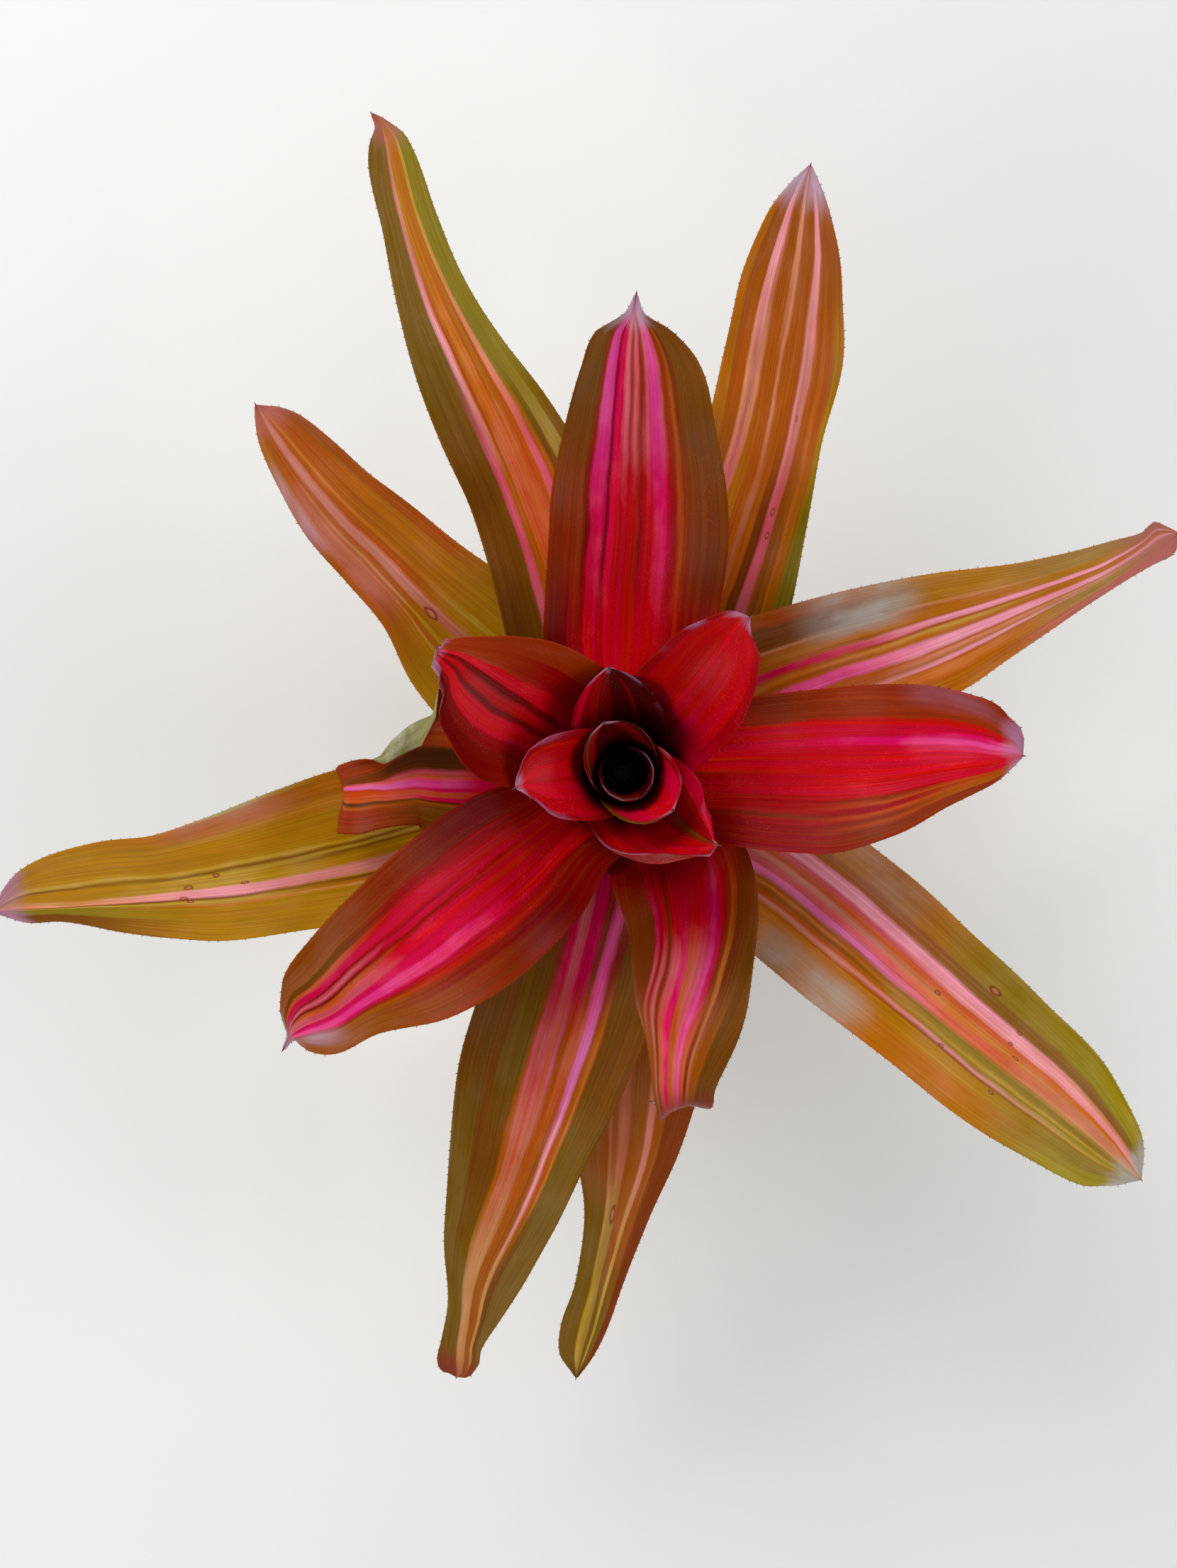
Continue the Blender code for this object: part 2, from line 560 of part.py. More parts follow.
def make_pot():
    """The clay pot: foot, tapered wall and plain collar, with drain holes through its floor."""
    collar_bottom = POT_HEIGHT - POT_COLLAR_HEIGHT
    body_top = pot_inner_radius(collar_bottom) + POT_WALL
    profile = [
        (0.0, 0.0),
        (POT_FOOT_RADIUS - 1.0, 0.0),
        (POT_FOOT_RADIUS, 1.0),
        (body_top, collar_bottom),
        (POT_COLLAR_RADIUS - POT_COLLAR_TAPER, collar_bottom + 0.5),
        (POT_COLLAR_RADIUS - POT_COLLAR_TAPER * 0.6, collar_bottom + 2.0),
        (POT_COLLAR_RADIUS, POT_HEIGHT - 2.5),
        (POT_COLLAR_RADIUS - 1.2, POT_HEIGHT - 0.6),
        (POT_COLLAR_RADIUS - 3.0, POT_HEIGHT),
        (pot_inner_radius(POT_HEIGHT) + 1.0, POT_HEIGHT),
        (pot_inner_radius(POT_HEIGHT), POT_HEIGHT - 1.0),
        (pot_inner_radius(POT_FLOOR), POT_FLOOR),
        (0.0, POT_FLOOR),
    ]
    clay = finish_material("fired_clay", (0.52, 0.20, 0.10), 0.85)
    pot = add_object("pot", turned_body(profile, POT_SIDES), clay, 30.0)
    for hole in range(DRAIN_HOLES):
        angle = DRAIN_TURN + 2.0 * math.pi * hole / DRAIN_HOLES
        drill = turned_body([(0.0, -1.0), (DRAIN_RADIUS, -1.0),
                             (DRAIN_RADIUS, POT_FLOOR + 1.0), (0.0, POT_FLOOR + 1.0)], DRAIN_SIDES)
        cutter = add_object(f"drain_cutter_{hole + 1}", drill, clay)
        cutter.location = (DRAIN_DISTANCE * math.cos(angle) * MM, DRAIN_DISTANCE * math.sin(angle) * MM, 0.0)
        cutter.hide_render = True
        cutter.display_type = "WIRE"
        cut = pot.modifiers.new(f"drain_{hole + 1}", "BOOLEAN")
        cut.operation = "DIFFERENCE"
        cut.solver = "EXACT"
        cut.object = cutter


def make_potting_mix():
    """The mix that fills the pot, with the socket that the stem stands in."""
    bottom = POT_FLOOR + CLEARANCE
    socket = STEM_RADIUS + CLEARANCE
    profile = [
        (0.0, bottom),
        (pot_inner_radius(bottom) - MIX_WALL_GAP, bottom),
        (pot_inner_radius(MIX_TOP) - MIX_WALL_GAP, MIX_TOP),
        (MIX_SHOULDER_RADIUS, MIX_TOP + MIX_CROWN * MIX_SHOULDER_RISE),
        (socket, MIX_TOP + MIX_CROWN),
        (socket, STEM_BOTTOM - CLEARANCE),
        (0.0, STEM_BOTTOM - CLEARANCE),
    ]
    peat = finish_material("peat_and_bark", (0.045, 0.028, 0.018), 0.95)
    add_object("potting_mix", turned_body(profile, MIX_SIDES), peat, 30.0)


def make_stem():
    """The caudex that every leaf grows from."""
    cone_foot = STEM_APEX_HEIGHT - (STEM_RADIUS - STEM_APEX_RADIUS) / STEM_CONE
    profile = [
        (0.0, STEM_BOTTOM),
        (STEM_RADIUS - 1.5, STEM_BOTTOM),
        (STEM_RADIUS, STEM_BOTTOM + 1.5),
        (STEM_RADIUS, cone_foot),
        (STEM_APEX_RADIUS, STEM_APEX_HEIGHT),
        (STEM_APEX_RADIUS * 0.5, STEM_APEX_HEIGHT + 1.5),
        (0.0, STEM_APEX_HEIGHT + 2.0),
    ]
    flesh = finish_material("stem_flesh", (0.40, 0.38, 0.20), 0.7)
    add_object("stem", turned_body(profile, STEM_SIDES), flesh, 40.0)


clear_scene()
make_pot()
make_potting_mix()
make_stem()
make_leaves()
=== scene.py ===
"""Potted neoregelia bromeliad, finished over its frame. Metres, +Z up, origin under the pot's middle."""

import json
import math

import bmesh
import bpy
from mathutils import Matrix, Vector, noise

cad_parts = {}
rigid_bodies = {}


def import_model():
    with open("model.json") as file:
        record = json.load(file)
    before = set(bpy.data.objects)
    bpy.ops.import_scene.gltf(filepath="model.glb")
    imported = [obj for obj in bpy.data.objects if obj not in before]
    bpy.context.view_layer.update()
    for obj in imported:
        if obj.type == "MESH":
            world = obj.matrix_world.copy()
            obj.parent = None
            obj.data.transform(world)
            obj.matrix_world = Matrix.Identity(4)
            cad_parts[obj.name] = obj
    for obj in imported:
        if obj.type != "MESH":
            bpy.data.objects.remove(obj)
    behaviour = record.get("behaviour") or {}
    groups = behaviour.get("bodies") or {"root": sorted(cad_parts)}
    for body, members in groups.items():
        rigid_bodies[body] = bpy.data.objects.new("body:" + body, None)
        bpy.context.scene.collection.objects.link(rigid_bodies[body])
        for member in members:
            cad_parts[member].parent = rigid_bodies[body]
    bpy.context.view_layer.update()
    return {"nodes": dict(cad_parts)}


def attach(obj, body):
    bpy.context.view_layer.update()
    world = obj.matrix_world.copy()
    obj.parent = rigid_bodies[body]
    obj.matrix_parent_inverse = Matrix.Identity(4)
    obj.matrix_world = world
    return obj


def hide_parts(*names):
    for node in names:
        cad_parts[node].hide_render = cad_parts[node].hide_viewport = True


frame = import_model()


# The clay pot is plain unglazed earthenware, turned and fired, with a collar round its lip.
# It stands on its flat foot, and three holes through the floor let the water out.
POT_HEIGHT = 0.112
POT_FOOT = 0.044
POT_LIP = 0.065
POT_WALL = 0.005
POT_FLOOR = 0.007
COLLAR_BOTTOM = 0.088
COLLAR_PROUD = 0.003
POT_SIDES = 128
DRAIN_HOLES = 3
DRAIN_RADIUS = 0.0045
DRAIN_DISTANCE = 0.022
DRAIN_TURN = math.radians(20.0)
DRILL_REACH = (-0.001, 0.0085)
DRILL_SIDES = 32


def rounded_outline(corners, steps=4):
    """Ease each (radius, height, rounding) corner of an outline into a short curve."""
    points = []
    for index, (radius, height, rounding) in enumerate(corners):
        corner = Vector((radius, height))
        if rounding == 0.0:
            points.append(corner)
            continue
        before = Vector(corners[index - 1][:2]) - corner
        after = Vector(corners[(index + 1) % len(corners)][:2]) - corner
        start = corner + before.normalized() * min(rounding, before.length / 2.0)
        end = corner + after.normalized() * min(rounding, after.length / 2.0)
        for step in range(steps + 1):
            share = step / steps
            points.append(start * (1 - share) ** 2 + corner * 2 * share * (1 - share) + end * share ** 2)
    return points


def turned_piece(name, outline, sides):
    """Turn an outline of (radius, height) points, which starts and ends on the axis, into a closed body."""
    body = bmesh.new()
    rings = []
    for radius, height in outline:
        if radius == 0.0:
            rings.append([body.verts.new((0.0, 0.0, height))] * sides)
            continue
        angles = [2.0 * math.pi * side / sides for side in range(sides)]
        rings.append([body.verts.new((radius * math.cos(a), radius * math.sin(a), height)) for a in angles])
    for lower, upper in zip(rings, rings[1:]):
        for side in range(sides):
            after = (side + 1) % sides
            corners = (lower[side], lower[after], upper[after], upper[side])
            body.faces.new(tuple(dict.fromkeys(corners)))
    bmesh.ops.recalc_face_normals(body, faces=body.faces)
    mesh = bpy.data.meshes.new(name)
    body.to_mesh(mesh)
    body.free()
    piece = bpy.data.objects.new(name, mesh)
    bpy.context.scene.collection.objects.link(piece)
    return piece


def shade_round(mesh, degrees):
    """Shade a mesh smooth, apart from edges sharper than the angle given."""
    mesh.shade_smooth()
    mesh.set_sharp_from_angle(angle=math.radians(degrees))


def plain_mesh(piece):
    """Apply every modifier of a piece, so that it holds a plain mesh."""
    graph = bpy.context.evaluated_depsgraph_get()
    mesh = bpy.data.meshes.new_from_object(piece.evaluated_get(graph))
    mesh.name = piece.name
    piece.modifiers.clear()
    piece.data = mesh
    return mesh


def pot_wall_radius(height):
    """Radius of the pot's inside wall at a height."""
    return POT_FOOT + (POT_LIP - COLLAR_PROUD - POT_FOOT) * height / POT_HEIGHT - POT_WALL


pot = turned_piece("clay_pot", rounded_outline([
    (0.0, 0.0, 0.0),
    (POT_FOOT, 0.0, 0.0015),
    (pot_wall_radius(COLLAR_BOTTOM) + POT_WALL, COLLAR_BOTTOM, 0.0012),
    (POT_LIP - 0.0012, COLLAR_BOTTOM + 0.0004, 0.0018),
    (POT_LIP, POT_HEIGHT - 0.0005, 0.0030),
    (pot_wall_radius(POT_HEIGHT), POT_HEIGHT, 0.0025),
    (pot_wall_radius(POT_FLOOR), POT_FLOOR, 0.0030),
    (0.0, POT_FLOOR, 0.0)]), POT_SIDES)
for hole in range(DRAIN_HOLES):
    angle = DRAIN_TURN + 2.0 * math.pi * hole / DRAIN_HOLES
    start, end = DRILL_REACH
    drill = turned_piece("drain_drill", [
        Vector((0.0, start)), Vector((DRAIN_RADIUS, start)),
        Vector((DRAIN_RADIUS, end)), Vector((0.0, end))], DRILL_SIDES)
    drill.data.transform(Matrix.Translation((
        DRAIN_DISTANCE * math.cos(angle), DRAIN_DISTANCE * math.sin(angle), 0.0)))
    cut = pot.modifiers.new("drain", "BOOLEAN")
    cut.operation = "DIFFERENCE"
    cut.solver = "EXACT"
    cut.object = drill
plain_mesh(pot)
for drill in [thing for thing in bpy.data.objects if thing.name.startswith("drain_drill")]:
    bpy.data.objects.remove(drill, do_unlink=True)
shade_round(pot.data, 35)


def paint(code):
    """A colour as the shaders want it, from its six-figure screen code."""
    channels = [int(code[index:index + 2], 16) / 255.0 for index in (0, 2, 4)]
    return (*[c / 12.92 if c <= 0.04045 else ((c + 0.055) / 1.055) ** 2.4 for c in channels], 1.0)


def add_node(tree, kind, feeds=None, **options):
    """Add a node, set its options, and feed its sockets with values or with other nodes' outputs."""
    made = tree.nodes.new(kind)
    for option, value in options.items():
        setattr(made, option, value)
    for socket, value in (feeds or {}).items():
        if isinstance(value, bpy.types.NodeSocket):
            tree.links.new(value, made.inputs[socket])
        else:
            made.inputs[socket].default_value = value
    return made


def wire(tree, kind, feeds=None, **options):
    """Add a shader node, by its kind's short name."""
    return add_node(tree, "ShaderNode" + kind, feeds, **options)


def arithmetic(tree, operation, first, second=0.0):
    """One sum on two values."""
    return wire(tree, "Math", {0: first, 1: second}, operation=operation).outputs[0]


def fade(tree, value, start, end, low=0.0, high=1.0):
    """A smooth step from low to high as a value goes from start to end."""
    feeds = {"Value": value, "From Min": start, "From Max": end, "To Min": low, "To Max": high}
    return wire(tree, "MapRange", feeds, interpolation_type="SMOOTHSTEP").outputs[0]


def mixed(tree, share, first, second, blend="MIX"):
    """Two colours mixed by a share."""
    return wire(tree, "Mix", {0: share, 6: first, 7: second}, data_type="RGBA", blend_type=blend).outputs[2]


def colour_run(tree, value, stops):
    """A run of colours along a value from 0 to 1."""
    ramp = wire(tree, "ValToRGB", {0: value})
    elements = ramp.color_ramp.elements
    while len(elements) < len(stops):
        elements.new(0.5)
    for element, (place, code) in zip(elements, stops):
        element.position = place
        element.color = paint(code)
    return ramp.outputs[0]


def grain(tree, place, scale, detail=3.0, stretch=(1.0, 1.0, 1.0)):
    """Soft random grain on a set of coordinates."""
    stretched = wire(tree, "Mapping", {"Vector": place, "Scale": stretch}).outputs[0]
    return wire(tree, "TexNoise", {"Vector": stretched, "Scale": scale, "Detail": detail}).outputs[0]


def new_finish(name):
    """A material, its tree, its shader and the place coordinates of the piece."""
    material = bpy.data.materials.new(name)
    material.use_nodes = True
    tree = material.node_tree
    shader = tree.nodes["Principled BSDF"]
    place = wire(tree, "TexCoord").outputs["Object"]
    return material, tree, shader, place


def relief(tree, shader, height, distance, strength=1.0, under=None):
    """Raise the surface by a height map."""
    feeds = {"Height": height, "Distance": distance, "Strength": strength}
    if under is not None:
        feeds["Normal"] = under
    normal = wire(tree, "Bump", feeds).outputs[0]
    tree.links.new(normal, shader.inputs["Normal"])
    return normal


clay, tree, shader, place = new_finish("fired_clay")
height = wire(tree, "SeparateXYZ", {0: place}).outputs[2]
body_tone = colour_run(tree, grain(tree, place, 22.0, 6.0), [
    (0.30, "8f4a2c"), (0.50, "a95f3c"), (0.72, "b8714a")])
rings = grain(tree, place, 1.0, 2.0, (6.0, 6.0, 260.0))
body_tone = mixed(tree, fade(tree, rings, 0.35, 0.70, 0.0, 0.35), body_tone, paint("8a4427"))
damp = arithmetic(tree, "MAXIMUM", fade(tree, height, 0.086, 0.104), fade(tree, height, 0.022, 0.004))
salts = arithmetic(tree, "MULTIPLY", fade(tree, grain(tree, place, 34.0, 8.0), 0.48, 0.66), damp)
body_tone = mixed(tree, arithmetic(tree, "MULTIPLY", salts, 0.55), body_tone, paint("d8c4b0"))
tree.links.new(body_tone, shader.inputs["Base Color"])
tree.links.new(fade(tree, grain(tree, place, 60.0), 0.2, 0.8, 0.78, 0.95), shader.inputs["Roughness"])
throwing = relief(tree, shader, rings, 0.0004, 0.5)
relief(tree, shader, grain(tree, place, 900.0, 4.0), 0.0003, 0.45, throwing)
pot.data.materials.clear()
pot.data.materials.append(clay)
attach(pot, "root")
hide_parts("pot")


# The potting mix is damp peat and fine bark, heaped a little towards the stem. It fills the pot
# to below the lip, and loose crumbs and chips of bark lie on it.
MIX_TOP = 0.097
MIX_CROWN = 0.003
MIX_SIDE_FIT = 0.0006
MIX_FLOOR_FIT = 0.00035
MIX_SURFACE = 0.09
STEM_SOCKET = 0.01335
SOCKET_BOTTOM = 0.07365
LUMPS = ((160.0, 0.0011), (420.0, 0.0006))
LEVEL_AT_STEM = 0.001
LEVEL_AT_WALL = 0.0005
CRUMB_TILT = 0.5
CRUMB_SPIN = 6.283
MIX_RINGS = 30
MIX_SIDES = 96
mix_bottom = POT_FLOOR + MIX_FLOOR_FIT
mix_wall = pot_wall_radius(MIX_TOP) - MIX_SIDE_FIT
mix_outline = [Vector((0.0, mix_bottom)), Vector((pot_wall_radius(mix_bottom) - MIX_SIDE_FIT, mix_bottom))]
for ring in range(MIX_RINGS + 1):
    share = ring / MIX_RINGS
    radius = mix_wall + (STEM_SOCKET - mix_wall) * share
    mix_outline.append(Vector((radius, MIX_TOP + MIX_CROWN * math.sin(share * math.pi / 2.0))))
mix_outline += [Vector((STEM_SOCKET, SOCKET_BOTTOM)), Vector((0.0, SOCKET_BOTTOM))]
potting_mix = turned_piece("potting_mix_body", mix_outline, MIX_SIDES)
for vertex in potting_mix.data.vertices:
    reach = math.hypot(vertex.co.x, vertex.co.y)
    if vertex.co.z > MIX_SURFACE and STEM_SOCKET + LEVEL_AT_STEM < reach < mix_wall - LEVEL_AT_WALL:
        vertex.co.z += sum(noise.noise(vertex.co * pace) * rise for pace, rise in LUMPS)
shade_round(potting_mix.data, 50)

peat, tree, shader, place = new_finish("damp_peat")
peat_tone = colour_run(tree, grain(tree, place, 180.0, 8.0), [
    (0.30, "140d08"), (0.55, "2c1d13"), (0.75, "46301f")])
tree.links.new(peat_tone, shader.inputs["Base Color"])
shader.inputs["Roughness"].default_value = 0.95
relief(tree, shader, grain(tree, place, 420.0, 8.0), 0.0012)
potting_mix.data.materials.append(peat)

bark, tree, shader, place = new_finish("bark_chips")
bark_tone = colour_run(tree, grain(tree, place, 95.0, 6.0), [
    (0.30, "2a190f"), (0.50, "513420"), (0.70, "7a5536")])
tree.links.new(bark_tone, shader.inputs["Base Color"])
shader.inputs["Roughness"].default_value = 0.85
relief(tree, shader, grain(tree, place, 260.0, 5.0, (1.0, 3.0, 1.0)), 0.0006)
potting_mix.data.materials.append(bark)


def growth_tree(name, takes, settings, gives):
    """A tree from one geometry and named settings to another, with its adder and what it is given."""
    tree = bpy.data.node_groups.new(name, "GeometryNodeTree")
    sockets = tree.interface
    sockets.new_socket(takes, in_out="INPUT", socket_type="NodeSocketGeometry")
    for label, value in settings.items():
        kind = {float: "NodeSocketFloat", int: "NodeSocketInt", tuple: "NodeSocketVector"}[type(value)]
        sockets.new_socket(label, in_out="INPUT", socket_type=kind).default_value = value
    sockets.new_socket(gives, in_out="OUTPUT", socket_type="NodeSocketGeometry")

    def add(kind, feeds=None, **options):
        return add_node(tree, kind, feeds, **options)

    return tree, add, add("NodeGroupInput").outputs


def sized_at_random(add, given):
    """A random size between a tree's Smallest and Largest, from its Seed."""
    feeds = {2: given["Smallest"], 3: given["Largest"], "Seed": given["Seed"]}
    return add("FunctionNodeRandomValue", feeds, data_type="FLOAT").outputs[1]


def set_at_points(add, points, shape, turn, size, finish):
    """End a tree: a shape set at points, turned and sized, made real and given its finish."""
    feeds = {"Points": points, "Instance": shape, "Rotation": turn, "Scale": size}
    laid = add("GeometryNodeInstanceOnPoints", feeds).outputs[0]
    real = add("GeometryNodeRealizeInstances", {0: laid}).outputs[0]
    done = add("GeometryNodeSetMaterial", {"Geometry": real, "Material": finish}).outputs[0]
    add("NodeGroupOutput", {0: done})


def mix_litter(name, finish):
    """A tree that strews rough crumbs over the level top of a body, with the body left out."""
    tree, add, given = growth_tree(name, "Mix", {
        "Crumbs per square metre": 60000.0, "Smallest": 0.6, "Largest": 1.4,
        "Shape": (1.0, 1.0, 1.0), "Seed": 1}, "Crumbs")
    facing = add("GeometryNodeInputNormal").outputs[0]
    level = add("ShaderNodeSeparateXYZ", {0: facing}).outputs[2]
    above = add("ShaderNodeSeparateXYZ", {0: add("GeometryNodeInputPosition").outputs[0]}).outputs[2]
    top = add("FunctionNodeBooleanMath", {
        0: add("FunctionNodeCompare", {0: level, 1: 0.5}, operation="GREATER_THAN").outputs[0],
        1: add("FunctionNodeCompare", {0: above, 1: MIX_SURFACE}, operation="GREATER_THAN").outputs[0],
    }).outputs[0]
    spots = add("GeometryNodeDistributePointsOnFaces", {
        "Mesh": given["Mix"], "Selection": top,
        "Density": given["Crumbs per square metre"], "Seed": given["Seed"]}).outputs[0]
    crumb = add("GeometryNodeMeshIcoSphere", {"Radius": 1.0, "Subdivisions": 1}).outputs[0]
    rough = add("ShaderNodeTexNoise", {"Scale": 1.6, "Detail": 1.0}, noise_dimensions="3D").outputs[1]
    shift = add("ShaderNodeVectorMath", {0: rough, 1: (0.5, 0.5, 0.5)}, operation="SUBTRACT").outputs[0]
    crumb = add("GeometryNodeSetPosition", {"Geometry": crumb, "Offset": shift}).outputs[0]
    crumb = add("GeometryNodeTransform", {"Geometry": crumb, "Scale": given["Shape"]}).outputs[0]
    turns = {0: (-CRUMB_TILT, -CRUMB_TILT, 0.0), 1: (CRUMB_TILT, CRUMB_TILT, CRUMB_SPIN),
             "Seed": given["Seed"]}
    spin = add("FunctionNodeRandomValue", turns, data_type="FLOAT_VECTOR").outputs[0]
    set_at_points(add, spots, crumb, spin, sized_at_random(add, given), finish)
    return tree


def grown_by(tree, name, source, settings):
    """Run a tree on a copy of a piece, with its named inputs set, and keep the result as a plain mesh."""
    piece = bpy.data.objects.new(name, source.data.copy())
    bpy.context.scene.collection.objects.link(piece)
    modifier = piece.modifiers.new("growth", "NODES")
    modifier.node_group = tree
    for socket in tree.interface.items_tree:
        if socket.in_out == "INPUT" and socket.name in settings:
            modifier[socket.identifier] = settings[socket.name]
    plain_mesh(piece)
    return piece


peat_crumbs = grown_by(mix_litter("peat_litter", peat), "peat_crumbs", potting_mix, {
    "Crumbs per square metre": 170000.0, "Smallest": 0.5, "Largest": 1.1,
    "Shape": (0.0010, 0.0009, 0.0007), "Seed": 4})
bark_pieces = grown_by(mix_litter("bark_litter", bark), "bark_pieces", potting_mix, {
    "Crumbs per square metre": 42000.0, "Smallest": 0.6, "Largest": 1.5,
    "Shape": (0.0028, 0.0015, 0.0007), "Seed": 9})
for piece in (potting_mix, peat_crumbs, bark_pieces):
    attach(piece, "root")
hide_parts("potting_mix")


# The stem is a short stout caudex, hidden by the leaf bases that grow round it. It is pale green
# living tissue, ringed where leaves join it, and it stands in the potting mix.
stem = frame["nodes"]["stem"]
flesh, tree, shader, place = new_finish("stem_flesh")
scars = grain(tree, place, 1.0, 3.0, (12.0, 12.0, 420.0))
stem_tone = colour_run(tree, scars, [(0.30, "4c3a1c"), (0.50, "8c8650"), (0.70, "a8a468")])
tree.links.new(stem_tone, shader.inputs["Base Color"])
shader.inputs["Roughness"].default_value = 0.75
relief(tree, shader, scars, 0.0006)
stem.data.materials.clear()
stem.data.materials.append(flesh)


# The young leaves at the heart are living tissue, two still rolled in a tube and four standing as a
# cup round it. They are deep red and satin-skinned, pale green and scurfy on the back, and each
# grows from the stem by a sheath that wraps the younger ones. Their mauve tips are partly painted
# sheen, and their rims carry painted lavender highlights.
STEM_WIDTH = 13.0
STEM_TIP = (5.0, 146.0)
STEM_CONE = 0.35
FOOT_GAP = 0.65
SHEATH_INNER = 7.5
SHEATH_STEP = 1.5
SHEATH_FLARE = 0.8
SHEATH_LIP = 1.0
FOOT_INNER = 144.0
FOOT_STEP = 2.1
SHEATH_TOP = 128.0
SHEATH_TOP_STEP = 1.6
SHEATH_HALF_WIDTH = 34.0
SHEATH_WRAP = 80.0
SHEATH_LENGTH = 40.0
LOWEST_RANK = 20
ACROSS_HALF = 24
ROW_STEP = 2.2
NARROWEST_HALF = 0.5
TIGHTEST_TROUGH = 4.0
CURL_START = 0.60
CURL_SPAN = 0.24
WAVE_LENGTH = 41.0
WAVE_FULL_WIDTH = 26.0
BLADE_MIDDLE = 0.80
BLADE_MARGIN = 0.42
RIDGE_HEIGHT = 0.22
RIDGE_ACROSS = 0.42
RIDGE_ALONG = 0.006
RIDGE_SHIFT = 7.3
STRIPE_SOFTNESS = 0.011
THORNS_FROM = 0.34
THORN_RAKE = 0.7
THORN_DEPTH = 0.4
SPINE_LENGTH = 0.0022
SPINE_FOOT = 0.00050
SPINE_POINT = 0.00004
SPINE_AHEAD = 0.0006

PAINTS = {
    "dark maroon": "4a0806", "maroon": "740a07", "dark red": "980c10", "blood": "b60e15", "red": "cc1422",
    "crimson": "d01a38", "cherry": "cc2850", "magenta": "d4508a", "hot magenta": "e2508c",
    "orchid": "da6ca6", "rose": "cc5a66", "pink": "e29296", "dusty pink": "c47868",
    "dusty rose": "b0645c", "clay pink": "b4664c", "salmon": "cc8260", "coral": "c05a3a",
    "red orange": "b4481c", "orange": "bc6a30", "rust": "a65014", "red brown": "8a2e0a",
    "chestnut": "76320a", "brown": "70400a", "dark brown": "542a06", "umber": "3c2006",
    "orange brown": "a86218", "deep red": "861206", "brick": "8a3226", "sienna": "965024",
    "drab": "74541e", "russet": "9c3416", "hot pink": "e03c6a", "pale pink": "e896a8",
    "mustard": "a67218", "gold": "b08a3a", "tan": "b8844e", "khaki": "98783a", "olive": "7c6a18",
    "green olive": "88801a", "dark olive": "5a4a0c", "deep olive": "40360c", "moss": "8f9a52",
    "lavender": "b090bc", "mauve": "b47c98", "lilac": "c0a0b4", "ash": "b4aca2", "silver": "b4aca4",
}


def sheath_stations(leaf):
    """Stations of a leaf's foot on the stem and of its sheath."""
    rank = leaf["rank"]
    sheath = SHEATH_INNER + SHEATH_STEP * rank
    foot_height = FOOT_INNER - FOOT_STEP * rank
    foot = min(STEM_WIDTH, STEM_TIP[0] + (STEM_TIP[1] - foot_height) * STEM_CONE) + FOOT_GAP
    if "wrap" in leaf:
        wrap = math.radians(leaf["wrap"])
    else:
        wrap = min(math.radians(SHEATH_WRAP), SHEATH_HALF_WIDTH / sheath)
    rise = SHEATH_FLARE * (sheath - foot) + SHEATH_LIP
    top = SHEATH_TOP + SHEATH_TOP_STEP * (LOWEST_RANK - rank)
    outline = ((foot, foot_height), (sheath, foot_height + rise), (sheath + SHEATH_LIP, top))
    return [(reach, 0.0, height, reach * wrap, reach * wrap, reach, 0.0, 0.0, 0.0)
            for reach, height in outline]


def leaf_stations(leaf):
    """All the stations of a leaf: reach, side, height, half-widths, trough, margin turns, and tip."""
    stations = sheath_stations(leaf)
    for index, station in enumerate(leaf["stations"]):
        turns = (0.0,) * (8 - len(station))
        stations.append((*station, *turns, 0.5 if index == 0 else 1.0))
    return stations


def curve_weights(t):
    """Weights, at a share of a smooth curve, of its start, the slope there, its end and the slope there."""
    return (2 * t ** 3 - 3 * t * t + 1, t ** 3 - 2 * t * t + t, 3 * t * t - 2 * t ** 3, t ** 3 - t * t)


def midrib_rows(stations):
    """Rows along a smooth curve through the stations, each with the direction of the midrib."""
    travel = [0.0]
    for here, after in zip(stations, stations[1:]):
        travel.append(travel[-1] + math.dist(here[:3], after[:3]))
    slopes = []
    for index in range(len(stations)):
        before, after = max(index - 1, 0), min(index + 1, len(stations) - 1)
        run = travel[after] - travel[before]
        slopes.append([(b - a) / run for a, b in zip(stations[before], stations[after])])
    rows = []
    for index, (start, end) in enumerate(zip(stations, stations[1:])):
        run = travel[index + 1] - travel[index]
        count = math.ceil(run / ROW_STEP)
        for step in range(count + (index == len(stations) - 2)):
            t = step / count
            weights = curve_weights(t)
            rates = (6 * t * t - 6 * t, 3 * t * t - 4 * t + 1, 6 * t - 6 * t * t, 3 * t * t - 2 * t)
            terms = [(a, p * run, b, q * run)
                     for a, p, b, q in zip(start, slopes[index], end, slopes[index + 1])]
            values = [sum(w * term for w, term in zip(weights, column)) for column in terms]
            heading = Vector([sum(r * term for r, term in zip(rates, column)) for column in terms[:3]])
            rows.append((values, heading.normalized()))
    return rows


def half_blade(half_width, trough, turn, lift_at_margin):
    """Points (sideways, lift) across one half of a blade, whose margin may turn over."""
    points = []
    sideways = lift = 0.0
    piece = half_width / ACROSS_HALF
    for step in range(ACROSS_HALF):
        share = (step + 0.5) / ACROSS_HALF
        bend = min(max((share - CURL_START) / CURL_SPAN, 0.0), 1.0)
        angle = share * half_width / trough + math.radians(turn) * bend * bend * (3.0 - 2.0 * bend)
        sideways += piece * math.cos(angle)
        lift += piece * math.sin(angle)
        points.append((sideways, lift + lift_at_margin * ((step + 1) / ACROSS_HALF) ** 2))
    return points


